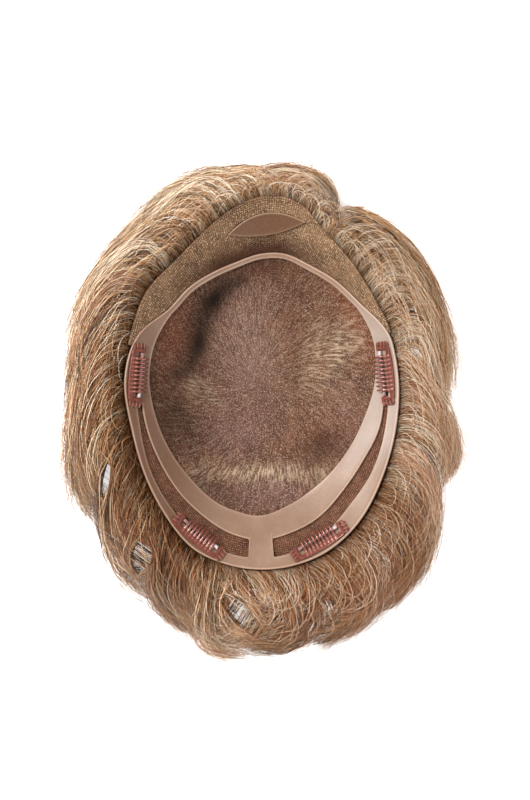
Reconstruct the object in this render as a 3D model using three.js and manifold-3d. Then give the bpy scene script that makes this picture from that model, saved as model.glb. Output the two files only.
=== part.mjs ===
import * as THREE from 'three';
import { mergeVertices } from 'three/addons/utils/BufferGeometryUtils.js';
import Module from 'manifold-3d';

// A toupee lying crown down on its own hair, so that the hollow for the head faces up.
// Millimetres, +Z up, +Y toward the front hairline, +X toward the wearer's left.
// Widths of cloth and poly are measured flat, as they look from straight above.

const wasm = await Module();
wasm.setup();

// Base: a bowl of cloth on an oval plan
const halfWidth = 66.2;
const halfLength = 89.8;
const bowlDepth = 36; // from the crown up to the rim at the nape
const crownRise = 14; // the squashed hair under the crown
const frontDrop = 0.08; // share of the depth that the hairline lies lower
const leftDrop = 0.1; // share of the depth that the left of the view lies lower
const clothWall = 1;
const polyWall = 1;
const layerGap = 0.4;
const hairGap = 0.6; // between the cloth and the hair's backing
const rimClear = 1.6; // between the rim and the hair round it
const tuck = 1; // how far cloth reaches under the edge of the poly

// Lace, poly frame and its windows
const laceDepth = 26; // hairline to stripe at the front
const laceSpan = [16, 168]; // degrees, between the side tabs
const stripeWidth = 2.5;
const frameWidth = 25.2; // rim to the frame's inner edge at the nape
const outerBand = 5.5;
const windowWidth = 9;
const bridgeWidth = 12; // poly between the two windows at the nape
const windowShare = 0.9; // of the rim, where the windows lie
const windowCorner = 3;
const cornerShare = 0.6; // of the corner's radius that each edge draws in
const rightWindowTop = -3; // degrees, below the clip at the right of the view
const leftWindowTop = 187.5; // degrees, below the clip at the left of the view

// Lens of thin poly on the lace at the hairline
const tabLength = 38.5;
const tabRise = 7.6;
const tabSag = 2.8;
const tabTilt = 8.7; // degrees
const tabWall = 0.8;
const tabPoint = 0.08; // of its width left at its points
const tabCentreX = 2.8;
const tabFromRim = 14.5;

// Soft fold in the mono top, in the front left quarter
const foldDepth = 4;
const foldWidth = 8; // half of it, from the middle of the fold
const foldMiddle = 142; // degrees
const foldSpan = 26; // degrees to either side
const foldShare = 0.57; // of the rim

// Snap comb clips, the same four times
const clipLength = 31;
const clipDepth = 11; // bar to tooth tips, along the cloth
const clipSheet = 0.75;
const clipLift = 0.5; // clear of the curved poly under it
const clipInset = 1.2; // bar to rim
const clipBow = 1.6;
const barWidth = 3.4;
const endPlate = 4.2;
const endPlateDepth = 9.2;
const toothCount = 9;
const toothPitch = 2.05;
const toothWidth = 1.15;
const toothSheet = 0.45;
const plateSheet = 0.55;
const barLap = 1; // of the bar into each end plate
const barBowShare = 0.6; // of the bow that the bar has taken up at the end plates
const toothRise = 2.7; // over the silicone sleeve
const toothRoot = 0.6; // how far a tooth starts inside the bar
const tipShare = 0.4; // of a tooth's rise and width, at its tip
const kneeAt = 6.9; // the middle of the sleeve, from the bar's outer edge
const plateCorner = 1.2;
const holeBore = 1;
const holeShares = [0.36, 0.6, 0.84]; // of the end plate's depth
const sleeveBore = 1.7; // the silicone sleeve's diameter
const sleeveLength = 22;

// Hair
const hairReach = 42; // the longest spill past the rim
const crestRise = 2.5; // locks over the rim
const backingShare = 0.55; // of the spill that the backing fills
const footShare = 0.86; // of the rim, where the backing meets the floor
const lockCount = 30;
const lockWidth = 19;
const lockWall = 10;
const underCount = 12;
const underWidth = 32;
const underWall = 14;
const crestHeights = [0.82, 0.96, 0.68]; // of the rim's height, root to second bend
const tipHeights = [0.16, 0.26, 0.36]; // in turn round the base
const underReaches = [0.2, 0.5, 0.8, 0.96]; // of the spill
const underHeights = [0.5, 0.42, 0.2, 0.06];
const lockWidest = 0.39; // of a lock's length
const lockTaper = 1.6; // how fast it narrows from there to its point
const floorGap = 1; // locks to floor
const waveDepth = 2.2;
const waveLength = 34;

// Facets
const ringFacets = 40;
const frameFacets = 48;
const laceFacets = 24;
const windowFacets = 12;
const tabFacets = 10;
const lockFacets = 5;
const lockSteps = 5;
const barSteps = 5;
const sliver = 0.02;

// One row for each 15 degrees round the base, from +X toward +Y: the rim as a share of the oval, then
// shares of laceDepth, of the frame's width past the stripe, of outerBand, of windowWidth and of hairReach.
const baseColumns = ['rim', 'lace', 'band', 'outer', 'window', 'spill'];
const baseRows = [
  [1.004, 0, 0.37, 0.85, 0.25, 0.69],
  [0.977, 0.01, 0.23, 0.9, 0.25, 0.71],
  [0.932, 0.23, 0, 0.9, 0.25, 0.67],
  [0.918, 0.41, 0, 0.9, 0.25, 0.62],
  [0.93, 0.63, 0, 0.9, 0.25, 0.43],
  [1.002, 0.94, 0, 0.9, 0.25, 0.42],
  [0.993, 1, 0, 0.9, 0.25, 0.4],
  [0.943, 0.88, 0, 0.9, 0.25, 0.52],
  [0.899, 0.65, 0, 0.9, 0.25, 0.71],
  [0.903, 0.49, 0, 0.9, 0.25, 0.65],
  [0.962, 0.47, 0, 0.9, 0.25, 0.62],
  [0.977, 0.08, 0.29, 0.9, 0.25, 0.76],
  [1, 0, 0.4, 1, 0.23, 0.73],
  [0.979, 0, 0.44, 0.73, 0.31, 0.79],
  [0.984, 0, 0.6, 0.6, 0.64, 0.8],
  [0.997, 0, 0.8, 0.8, 0.83, 1],
  [1.018, 0, 0.97, 1.07, 1.04, 0.81],
  [1.005, 0, 1, 0.95, 1, 1],
  [1, 0, 1, 0.93, 0.95, 1],
  [1.008, 0, 1.1, 1.07, 1, 0.98],
  [1.026, 0, 1.14, 1.38, 0.88, 1],
  [1.032, 0, 1.02, 1.5, 0.77, 1],
  [1.02, 0, 0.79, 1, 0.69, 0.86],
  [1.013, 0, 0.58, 0.85, 0.31, 0.79],
];

// How a lock runs from its root at the rim, one row for each 15 degrees: its turn round the base in
// degrees and its reach as a share of hairReach, at its first bend, its second bend and its tip.
const flowColumns = ['turnA', 'reachA', 'turnB', 'reachB', 'turnTip', 'reachTip'];
const flowRows = [
  [2, 0.29, -8, 0.62, -20, 0.74],
  [3, 0.31, -6, 0.5, -23, 0.68],
  [3, 0.4, -10, 0.5, -29, 0.63],
  [0, 0.47, -12, 0.62, -32, 0.6],
  [-3, 0.38, -12, 0.52, -26, 0.4],
  [-4, 0.22, -13, 0.29, -20, 0.1],
  [-7, 0.3, -20, 0.42, -33, 0.15],
  [6, 0.36, 18, 0.58, 38, 0.5],
  [4, 0.36, 17, 0.5, 34, 0.56],
  [1, 0.4, 16, 0.54, 32, 0.66],
  [2, 0.36, 15, 0.59, 29, 0.69],
  [3, 0.32, 13, 0.56, 26, 0.74],
  [5, 0.3, 14, 0.56, 30, 0.7],
  [6, 0.36, 21, 0.7, 38, 0.85],
  [0, 0.34, 9, 0.6, 21, 0.64],
  [2, 0.35, 12, 0.7, 26, 0.86],
  [1, 0.38, 7, 0.67, 16, 0.88],
  [-1, 0.45, 1, 0.83, 13, 0.94],
  [13, 0.36, 11, 0.77, -5, 0.9],
  [11, 0.4, 6, 0.82, -8, 0.99],
  [6, 0.56, 1, 0.93, -13, 1],
  [3, 0.58, -2, 0.89, -12, 0.96],
  [3, 0.53, -4, 0.87, -16, 0.96],
  [2, 0.38, -6, 0.62, -18, 0.68],
];

// A column of a table at any angle, on a smooth closed curve through its rows.
function columnAt(rows, columns, name, degrees) {
  const place = THREE.MathUtils.euclideanModulo(degrees, 360) / (360 / rows.length);
  const row = Math.floor(place);
  const k = columns.indexOf(name);
  const value = (step) => rows[THREE.MathUtils.euclideanModulo(row + step, rows.length)][k];
  const t = place - row;
  const slopeIn = (value(1) - value(-1)) / 2;
  const slopeOut = (value(2) - value(0)) / 2;
  const rise = value(1) - value(0);
  return value(0) + t * (slopeIn + t * (3 * rise - 2 * slopeIn - slopeOut + t * (slopeIn + slopeOut - 2 * rise)));
}

const baseAt = (name, degrees) => Math.max(0, columnAt(baseRows, baseColumns, name, degrees));
const flowAt = (name, degrees) => columnAt(flowRows, flowColumns, name, degrees);

// The plan point that lies a distance out from the rim along the oval's own ray at an angle.
function planAt(degrees, outward) {
  const angle = THREE.MathUtils.degToRad(degrees);
  const rim = baseAt('rim', degrees);
  const x = halfWidth * rim * Math.cos(angle);
  const y = halfLength * rim * Math.sin(angle);
  const share = 1 + outward / Math.hypot(x, y);
  return new THREE.Vector2(x * share, y * share);
}

// The plan point at a share of the way from the crown to the rim.
function planShare(degrees, share) {
  return planAt(degrees, 0).multiplyScalar(share);
}

// Height of the cloth's upper face over the floor: a parabola in the share of the rim, less the fold.
function clothHeight(x, y) {
  const angle = Math.atan2(y / halfLength, x / halfWidth);
  const degrees = THREE.MathUtils.radToDeg(angle);
  const share = Math.hypot(x / halfWidth, y / halfLength) / baseAt('rim', degrees);
  const drop = frontDrop * Math.max(0, Math.sin(angle)) + leftDrop * Math.max(0, -Math.cos(angle));
  const foldRun = THREE.MathUtils.euclideanModulo(degrees, 360) - foldMiddle;
  const foldAcross = (share - foldShare) * halfWidth / foldWidth;
  const fold = foldDepth * Math.exp(-(foldAcross ** 2) - (foldRun / foldSpan) ** 2);
  return crownRise + bowlDepth * (1 - drop) * share ** 2 - fold;
}

// A point of the bowl: a plan point lifted off the cloth's upper face along its normal.
function bowlPoint(plan, lift) {
  const step = 0.5;
  const slopeX = (clothHeight(plan.x + step, plan.y) - clothHeight(plan.x - step, plan.y)) / (2 * step);
  const slopeY = (clothHeight(plan.x, plan.y + step) - clothHeight(plan.x, plan.y - step)) / (2 * step);
  const normal = new THREE.Vector3(-slopeX, -slopeY, 1).normalize();
  return new THREE.Vector3(plan.x, plan.y, clothHeight(plan.x, plan.y)).addScaledVector(normal, lift);
}

// Distances in from the rim at an angle.
const laceEdge = (degrees) => laceDepth * baseAt('lace', degrees);
const frameInner = (degrees) =>
  laceEdge(degrees) + stripeWidth + (frameWidth - stripeWidth) * baseAt('band', degrees);
const windowOuter = (degrees) => outerBand * baseAt('outer', degrees);
const windowInner = (degrees) => windowOuter(degrees) + windowWidth * baseAt('window', degrees);

// Moves each vertex of a closed geometry, merges its doubled corners and turns its faces outward.
function shaped(geometry, move) {
  const bare = geometry.clone();
  bare.deleteAttribute('normal');
  bare.deleteAttribute('uv');
  const position = bare.getAttribute('position');
  const point = new THREE.Vector3();
  for (let i = 0; i < position.count; i += 1) {
    point.fromBufferAttribute(position, i);
    position.setXYZ(i, ...move(point.clone()).toArray());
  }
  const merged = mergeVertices(bare, 1e-4);
  const corners = [];
  for (let i = 0; i < merged.index.count; i += 3) {
    const [a, b, c] = [0, 1, 2].map((k) => merged.index.getX(i + k));
    if (a !== b && b !== c && c !== a) {
      corners.push([a, b, c]);
    }
  }
  const at = (i) => new THREE.Vector3().fromBufferAttribute(merged.getAttribute('position'), i);
  const volume = corners.reduce((sum, [a, b, c]) => sum + at(a).dot(at(b).cross(at(c))), 0);
  merged.setIndex(corners.flatMap(([a, b, c]) => (volume > 0 ? [a, b, c] : [a, c, b])));
  return merged;
}

function toManifold(geometry) {
  return new wasm.Manifold(new wasm.Mesh({
    numProp: 3,
    vertProperties: new Float32Array(geometry.getAttribute('position').array),
    triVerts: new Uint32Array(geometry.index.array),
  }));
}

// Back to a geometry, without the slivers and crumbs that a cut leaves.
function toGeometry(manifold) {
  const bodies = manifold.simplify(sliver).decompose();
  const mesh = bodies.sort((a, b) => b.volume() - a.volume())[0].getMesh();
  const geometry = new THREE.BufferGeometry();
  geometry.setAttribute('position', new THREE.BufferAttribute(new Float32Array(mesh.vertProperties), 3));
  geometry.setIndex(new THREE.BufferAttribute(new Uint32Array(mesh.triVerts), 1));
  return geometry;
}

// A closed disc or ring: a lathe whose profile runs along x, moved ring by ring onto the bowl.
function turned(profile, facets, move) {
  const lathe = new THREE.LatheGeometry(profile, facets);
  return shaped(lathe, (p) => {
    const degrees = THREE.MathUtils.radToDeg(Math.atan2(p.x, p.z));
    return move(degrees, Math.hypot(p.x, p.z), p.y);
  });
}

// A closed strip of the bowl between two distances in from the rim, from one angle to another.
function strip(start, end, outer, inner, lowest, wall, facets, rows = 1) {
  const box = new THREE.BoxGeometry(1, 1, 1, facets, rows, 1);
  return shaped(box, (p) => {
    const degrees = THREE.MathUtils.lerp(start, end, p.x + 0.5);
    const inward = THREE.MathUtils.lerp(outer(degrees), inner(degrees), p.y + 0.5);
    return bowlPoint(planAt(degrees, -inward), lowest + wall * (p.z + 0.5));
  });
}

function monoTop() {
  const rings = [0, 0.25, 0.45, 0.58, 0.68, 0.78, 0.88, 1];
  const upper = rings.map((ring) => new THREE.Vector2(ring, 1));
  const lower = rings.toReversed().map((ring) => new THREE.Vector2(ring, 0));
  return turned([...upper, ...lower], ringFacets, (degrees, ring, level) => {
    const edge = planAt(degrees, tuck - frameInner(degrees));
    return bowlPoint(edge.multiplyScalar(ring), (level - 1) * clothWall);
  });
}

function laceFront() {
  const inner = (degrees) => laceEdge(degrees) + tuck;
  return strip(...laceSpan, () => 0, inner, -clothWall, clothWall, laceFacets, 2);
}

// The window's edges draw in to a rounded corner at its end by the bridge.
function windowStrip(start, end, grow, lowest, wall) {
  const bridgeEnd = Math.abs(end - 270) < Math.abs(start - 270) ? end : start;
  const narrowed = (degrees) => {
    const fromEnd = Math.abs(degrees - bridgeEnd) * Math.PI / 180 * halfWidth;
    const left = Math.min(1, Math.max(0, 1 - fromEnd / windowCorner));
    return windowCorner * (1 - Math.sqrt(1 - left ** 2)) * cornerShare;
  };
  const outer = (degrees) => windowOuter(degrees) + narrowed(degrees) - grow;
  const inner = (degrees) => windowInner(degrees) - narrowed(degrees) + grow;
  return strip(start, end, outer, inner, lowest, wall, windowFacets);
}

const bridgeAngle = THREE.MathUtils.radToDeg(Math.asin(bridgeWidth / 2 / (halfWidth * windowShare)));
const windowSpans = {
  left: [leftWindowTop, 270 - bridgeAngle],
  right: [270 + bridgeAngle, 360 + rightWindowTop],
};

function meshWindow([start, end]) {
  const grow = THREE.MathUtils.radToDeg(tuck / halfWidth);
  return windowStrip(start - grow, end + grow, tuck, -clothWall, clothWall);
}

function polyFrame() {
  const rows = [0, 0.45, 1];
  const section = [
    ...rows.map((row) => new THREE.Vector2(1 + row, 1)),
    ...rows.toReversed().map((row) => new THREE.Vector2(1 + row, 0)),
    new THREE.Vector2(1, 1),
  ];
  const ring = turned(section, frameFacets, (degrees, radius, level) => {
    const inward = THREE.MathUtils.lerp(frameInner(degrees), laceEdge(degrees), radius - 1);
    return bowlPoint(planAt(degrees, -inward), layerGap + level * polyWall);
  });
  let frame = toManifold(ring);
  for (const [start, end] of Object.values(windowSpans)) {
    frame = frame.subtract(toManifold(windowStrip(start, end, 0, -polyWall, 4 * polyWall)));
  }
  return toGeometry(frame);
}

function frontTab() {
  const box = new THREE.BoxGeometry(1, 1, 1, tabFacets, 1, 1);
  const tilt = THREE.MathUtils.degToRad(tabTilt);
  const centre = new THREE.Vector2(tabCentreX, planAt(90, -tabFromRim).y);
  return shaped(box, (p) => {
    const along = 2 * p.x;
    const bulge = Math.max(tabPoint, 1 - along ** 2);
    const across = THREE.MathUtils.lerp(-tabSag, tabRise, p.y + 0.5) * bulge;
    const plan = new THREE.Vector2(along * tabLength / 2, across).rotateAround(new THREE.Vector2(), tilt);
    return bowlPoint(plan.add(centre), layerGap + tabWall * (p.z + 0.5));
  });
}

// The flat outline of a clip's end plate with its row of sewing holes: x along the clip, y inward.
function endPlateOutline() {
  const outline = new THREE.Shape();
  outline.moveTo(0, clipBow);
  outline.lineTo(endPlate - plateCorner, clipBow);
  outline.lineTo(endPlate, clipBow + plateCorner);
  outline.lineTo(endPlate, endPlateDepth - plateCorner);
  outline.lineTo(endPlate - plateCorner, endPlateDepth);
  outline.lineTo(0, endPlateDepth);
  for (const share of holeShares) {
    const hole = new THREE.Path();
    hole.absarc(endPlate / 2, endPlateDepth * share, holeBore / 2, 0, 2 * Math.PI);
    outline.holes.push(hole);
  }
  return outline;
}

// Lays a flat point on the bowl: x along the rim from the clip's middle, y in from its bar.
function clipSeat(middle) {
  const bar = planAt(middle, -clipInset);
  const along = planAt(middle + 1, -clipInset).sub(planAt(middle - 1, -clipInset)).normalize();
  const inward = new THREE.Vector2(-along.y, along.x);
  const reach = bar.clone().addScaledVector(inward, clipDepth);
  const climb = clothHeight(bar.x, bar.y) - clothHeight(reach.x, reach.y);
  const flat = Math.cos(Math.atan2(climb, clipDepth));
  return (x, y, lift) => {
    const plan = bar.clone().addScaledVector(along, x).addScaledVector(inward, y * flat);
    return bowlPoint(plan, layerGap + polyWall + clipLift + lift);
  };
}

function clip(middle) {
  const seat = clipSeat(middle);
  const inner = clipLength / 2 - endPlate;
  const bar = new THREE.BoxGeometry(1, 1, 1, barSteps, 1, 1);
  let comb = toManifold(shaped(bar, (p) => {
    const x = 2 * p.x * (inner + barLap);
    const bow = clipBow * (x / inner) ** 2 * barBowShare;
    return seat(x, THREE.MathUtils.lerp(bow, barWidth, p.y + 0.5), clipSheet * (p.z + 0.5));
  }));
  const plate = new THREE.ExtrudeGeometry(endPlateOutline(), {
    depth: plateSheet, bevelEnabled: false, curveSegments: 3,
  });
  const plateLift = (clipSheet - plateSheet) / 2;
  for (const side of [-1, 1]) {
    comb = comb.add(toManifold(shaped(plate, (p) => seat(side * (inner + p.x), p.y, p.z + plateLift))));
  }
  const stations = [
    { y: barWidth - toothRoot, rise: 0, width: 1 },
    { y: kneeAt + sleeveBore / 2, rise: toothRise, width: 1 },
    { y: clipDepth, rise: toothRise * tipShare, width: tipShare },
  ];
  const rows = stations.length - 1;
  const tooth = new THREE.BoxGeometry(toothWidth, rows, toothSheet, 1, rows, 1);
  for (let i = 0; i < toothCount; i += 1) {
    const x = toothPitch * (i - (toothCount - 1) / 2);
    comb = comb.add(toManifold(shaped(tooth, (p) => {
      const station = stations[Math.round(p.y + rows / 2)];
      return seat(x + p.x * station.width, station.y, p.z + clipSheet / 2 + station.rise);
    })));
  }
  return toGeometry(comb);
}

function clipSleeve(middle) {
  const tube = new THREE.CylinderGeometry(sleeveBore / 2, sleeveBore / 2, sleeveLength, 6, 4);
  const seat = clipSeat(middle);
  return shaped(tube, (p) => seat(p.y, kneeAt + p.x, sleeveBore / 2 + p.z));
}

// The space over the cloth, which hair stays out of.
function headSpace() {
  const rings = [0, 0.25, 0.42, 0.5, 0.58, 0.66, 0.78, 1];
  const top = crownRise + 2 * bowlDepth;
  const profile = [
    new THREE.Vector2(0, top),
    new THREE.Vector2(1, top),
    ...rings.toReversed().map((ring) => new THREE.Vector2(ring, 0)),
  ];
  return turned(profile, ringFacets, (degrees, ring, level) => {
    if (level > 0) {
      const lid = planAt(degrees, -rimClear).multiplyScalar(ring);
      return new THREE.Vector3(lid.x, lid.y, level);
    }
    return bowlPoint(planAt(degrees, rimClear).multiplyScalar(ring), -clothWall - hairGap);
  });
}

// The dense hair next to the base, from the floor up over the rim.
function hairBacking() {
  const rimTop = (degrees) => {
    const rim = planAt(degrees, 0);
    return clothHeight(rim.x, rim.y);
  };
  const shares = [
    { out: 0.15, height: 1 },
    { out: 0.55, height: 0.93 },
    { out: 0.92, height: 0.66 },
    { out: 1, height: 0.4 },
    { out: 0.7, height: 0.14 },
  ];
  const profile = [
    new THREE.Vector2(0, 0),
    ...shares.map((share, i) => new THREE.Vector2(1, i + 1)),
    new THREE.Vector2(1, shares.length + 1),
    new THREE.Vector2(0, shares.length + 1),
  ];
  return turned(profile, ringFacets, (degrees, ring, level) => {
    const index = Math.round(level);
    const share = shares[index - 1];
    if (share) {
      const spill = hairReach * baseAt('spill', degrees) * backingShare;
      const plan = planAt(degrees, spill * share.out);
      return new THREE.Vector3(plan.x, plan.y, rimTop(degrees) * share.height);
    }
    const plan = planShare(degrees, ring * footShare);
    return new THREE.Vector3(plan.x, plan.y, index === 0 ? crownRise + bowlDepth : 0);
  });
}

// The middle line of a lock from its root, through two bends, to its tip.
function lockPath(degrees, reaches, heights, inset) {
  const turns = [0, flowAt('turnA', degrees), flowAt('turnB', degrees), flowAt('turnTip', degrees)];
  const points = turns.map((turn, i) => {
    const around = degrees + turn;
    const rim = planAt(around, 0);
    const plan = planAt(around, reaches[i] * hairReach - inset);
    return new THREE.Vector3(plan.x, plan.y, clothHeight(rim.x, rim.y) * heights[i] + crestRise);
  });
  return new THREE.CatmullRomCurve3(points);
}

// A flat tapering lock that waves from side to side along its path.
function lock(path, width, wall, phase) {
  const tube = new THREE.CylinderGeometry(1, 1, 1, lockFacets, lockSteps);
  const length = path.getLength();
  return shaped(tube, (p) => {
    const along = p.y + 0.5;
    const tangent = path.getTangentAt(along);
    const side = new THREE.Vector3(tangent.y, -tangent.x, 0).normalize();
    const up = side.clone().cross(tangent);
    const fullness = Math.sqrt(1 - (lockTaper * (along - lockWidest)) ** 2);
    const wave = waveDepth * Math.sin(2 * Math.PI * (along * length / waveLength + phase)) * along;
    const point = path.getPointAt(along);
    point.addScaledVector(side, wave + p.x * fullness * width / 2);
    point.addScaledVector(up, p.z * fullness * wall / 2);
    point.z = Math.max(point.z, floorGap);
    return point;
  });
}

function hairMass() {
  let mass = toManifold(hairBacking());
  for (let i = 0; i < underCount; i += 1) {
    const degrees = 360 * (i + 0.5) / underCount;
    const reaches = underReaches.map((share) => share * baseAt('spill', degrees));
    const path = lockPath(degrees, reaches, underHeights, underWidth / 4);
    mass = mass.add(toManifold(lock(path, underWidth, underWall, i / 3)));
  }
  for (let i = 0; i < lockCount; i += 1) {
    const degrees = 360 * (i + 0.5) / lockCount;
    const reaches = [0, ...['reachA', 'reachB', 'reachTip'].map((name) => flowAt(name, degrees))];
    const heights = [...crestHeights, tipHeights[i % tipHeights.length]];
    const path = lockPath(degrees, reaches, heights, lockWidth / 4);
    mass = mass.add(toManifold(lock(path, lockWidth, lockWall, i / 4)));
  }
  return toGeometry(mass.subtract(toManifold(headSpace())));
}

const finishes = {
  mono: { color: '#7c5c50', roughness: 0.85, metalness: 0 },
  lace: { color: '#8f7a60', roughness: 0.85, metalness: 0 },
  poly: { color: '#c7aa94', roughness: 0.45, metalness: 0 },
  mesh: { color: '#7a4c3b', roughness: 0.8, metalness: 0 },
  copper: { color: '#8a4a3c', roughness: 0.35, metalness: 0.4 },
  silicone: { color: '#dcd8d6', roughness: 0.3, metalness: 0 },
  hair: { color: '#b08560', roughness: 0.6, metalness: 0 },
};

const toupee = new THREE.Group();

function addPiece(name, geometry, finish) {
  const piece = new THREE.Mesh(geometry, new THREE.MeshStandardMaterial(finishes[finish]));
  piece.name = name;
  toupee.add(piece);
}

addPiece('mono_top', monoTop(), 'mono');
addPiece('lace_front', laceFront(), 'lace');
addPiece('front_tab', frontTab(), 'poly');
addPiece('poly_frame', polyFrame(), 'poly');
for (const [side, span] of Object.entries(windowSpans)) {
  addPiece(`mesh_window_${side}`, meshWindow(span), 'mesh');
}
const clipMiddles = { left: 177.3, right: 3.4, back_left: 240, back_right: 297.4 };
for (const [place, middle] of Object.entries(clipMiddles)) {
  addPiece(`clip_${place}`, clip(middle), 'copper');
  addPiece(`clip_${place}_sleeve`, clipSleeve(middle), 'silicone');
}
addPiece('hair', hairMass(), 'hair');

// The origin is the middle of the resting face, on the floor.
const bounds = new THREE.Box3().setFromObject(toupee);
const middle = bounds.getCenter(new THREE.Vector3());
toupee.position.set(-middle.x, -middle.y, -bounds.min.z);

export default toupee;
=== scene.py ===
# A toupee lying crown down on its own hair, seen straight from above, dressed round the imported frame.
# Shapes are worked out in millimetres in the model's own frame, whose origin is the crown of the base,
# and a piece becomes metres in the frame of the pack when its mesh is made.
import math

import bmesh
import bpy
import numpy as np
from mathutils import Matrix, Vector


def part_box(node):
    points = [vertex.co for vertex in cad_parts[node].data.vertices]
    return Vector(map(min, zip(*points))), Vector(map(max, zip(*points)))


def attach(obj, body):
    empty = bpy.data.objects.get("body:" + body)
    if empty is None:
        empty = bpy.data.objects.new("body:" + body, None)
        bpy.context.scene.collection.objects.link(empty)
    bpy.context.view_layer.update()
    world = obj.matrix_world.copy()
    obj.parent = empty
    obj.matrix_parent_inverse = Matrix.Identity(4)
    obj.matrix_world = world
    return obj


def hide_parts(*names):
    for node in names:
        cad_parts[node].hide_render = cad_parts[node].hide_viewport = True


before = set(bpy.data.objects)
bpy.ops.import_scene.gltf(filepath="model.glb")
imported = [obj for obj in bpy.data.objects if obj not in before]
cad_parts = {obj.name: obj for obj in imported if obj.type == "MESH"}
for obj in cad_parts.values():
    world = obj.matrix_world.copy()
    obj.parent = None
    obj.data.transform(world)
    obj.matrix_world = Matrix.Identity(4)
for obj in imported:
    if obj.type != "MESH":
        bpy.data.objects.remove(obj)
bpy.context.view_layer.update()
print("frame loaded:", len(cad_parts), "nodes")

# The bowl of cloth, with the values of the CAD source.
bowl = {
    "halfWidth": 66.2,
    "halfLength": 89.8,
    "depth": 36.0,  # from the crown up to the rim at the nape
    "crownRise": 14.0,  # the squashed hair under the crown
    "frontDrop": 0.08,  # share of the depth that the hairline lies lower
    "leftDrop": 0.1,  # and the left of the view
    "clothWall": 1.0,
    "polyWall": 1.0,
    "layerGap": 0.4,
    "tuck": 1.0,  # how far cloth reaches under the edge of the poly
    "foldDepth": 4.0,
    "foldWidth": 8.0,
    "foldMiddle": 142.0,  # degrees
    "foldSpan": 26.0,
    "foldShare": 0.57,
}

# One row for each 15 degrees round the base, from +X toward +Y.
baseColumns = ("rim", "lace", "band", "outer", "window", "spill")
baseRows = np.array([
    (1.004, 0, 0.37, 0.85, 0.25, 0.69),
    (0.977, 0.01, 0.23, 0.9, 0.25, 0.71),
    (0.932, 0.23, 0, 0.9, 0.25, 0.67),
    (0.918, 0.41, 0, 0.9, 0.25, 0.62),
    (0.93, 0.63, 0, 0.9, 0.25, 0.43),
    (1.002, 0.94, 0, 0.9, 0.25, 0.42),
    (0.993, 1, 0, 0.9, 0.25, 0.4),
    (0.943, 0.88, 0, 0.9, 0.25, 0.52),
    (0.899, 0.65, 0, 0.9, 0.25, 0.71),
    (0.903, 0.49, 0, 0.9, 0.25, 0.65),
    (0.962, 0.47, 0, 0.9, 0.25, 0.62),
    (0.977, 0.08, 0.29, 0.9, 0.25, 0.76),
    (1, 0, 0.4, 1, 0.23, 0.73),
    (0.979, 0, 0.44, 0.73, 0.31, 0.79),
    (0.984, 0, 0.6, 0.6, 0.64, 0.8),
    (0.997, 0, 0.8, 0.8, 0.83, 1),
    (1.018, 0, 0.97, 1.07, 1.04, 0.81),
    (1.005, 0, 1, 0.95, 1, 1),
    (1, 0, 1, 0.93, 0.95, 1),
    (1.008, 0, 1.1, 1.07, 1, 0.98),
    (1.026, 0, 1.14, 1.38, 0.88, 1),
    (1.032, 0, 1.02, 1.5, 0.77, 1),
    (1.02, 0, 0.79, 1, 0.69, 0.86),
    (1.013, 0, 0.58, 0.85, 0.31, 0.79),
])


def columnAt(name, degrees):
    # A table's column at any angle: a cubic between two rows, whose slope at each row is half the rise
    # from the row before it to the row after it.
    column = baseRows[:, baseColumns.index(name)]
    place = np.mod(degrees, 360) / (360 / len(column))
    row = np.floor(place).astype(int)
    t = place - row
    before, here, after, beyond = (column[(row + k) % len(column)] for k in (-1, 0, 1, 2))
    slopeIn = (after - before) / 2
    slopeOut = (beyond - here) / 2
    rise = after - here
    bend = 3 * rise - 2 * slopeIn - slopeOut + t * (slopeIn + slopeOut - 2 * rise)
    return np.maximum(here + t * (slopeIn + t * bend), 0)


def planAt(degrees, outward):
    # The plan point a distance out from the rim: the rim is rim(angle) times the oval
    # (halfWidth cos, halfLength sin), and the point lies on the same ray, that much further out.
    degrees, outward = np.broadcast_arrays(np.asarray(degrees, float), np.asarray(outward, float))
    angle = np.radians(degrees)
    rim = columnAt("rim", degrees)
    x = bowl["halfWidth"] * rim * np.cos(angle)
    y = bowl["halfLength"] * rim * np.sin(angle)
    share = 1 + outward / np.hypot(x, y)
    return np.stack([x * share, y * share], axis=-1)


def placeOn(plan):
    # The angle of a plan point in degrees, and its share of the way from the crown to the rim.
    u, v = plan[..., 0] / bowl["halfWidth"], plan[..., 1] / bowl["halfLength"]
    degrees = np.degrees(np.arctan2(v, u))
    return degrees, np.hypot(u, v) / columnAt("rim", degrees)


def clothHeight(plan):
    # crownRise + depth (1 - drop) share squared, less a soft fold: a bell across share and along angle.
    degrees, share = placeOn(plan)
    angle = np.radians(degrees)
    drop = bowl["frontDrop"] * np.maximum(0, np.sin(angle))
    drop = drop + bowl["leftDrop"] * np.maximum(0, -np.cos(angle))
    run = (np.mod(degrees, 360) - bowl["foldMiddle"]) / bowl["foldSpan"]
    across = (share - bowl["foldShare"]) * bowl["halfWidth"] / bowl["foldWidth"]
    fold = bowl["foldDepth"] * np.exp(-(across**2) - run**2)
    return bowl["crownRise"] + bowl["depth"] * (1 - drop) * share**2 - fold


def bowlPoint(plan, lift):
    # The point over a plan point, lifted off the cloth's upper face along its normal.
    step = np.array([0.5, 0.0])
    slopeX = clothHeight(plan + step) - clothHeight(plan - step)
    slopeY = clothHeight(plan + step[::-1]) - clothHeight(plan - step[::-1])
    normal = np.stack([-slopeX, -slopeY, np.ones_like(slopeX)], axis=-1)
    normal /= np.linalg.norm(normal, axis=-1, keepdims=True)
    point = np.concatenate([plan, clothHeight(plan)[..., None]], axis=-1)
    return point + normal * np.asarray(lift, float)[..., None]


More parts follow.
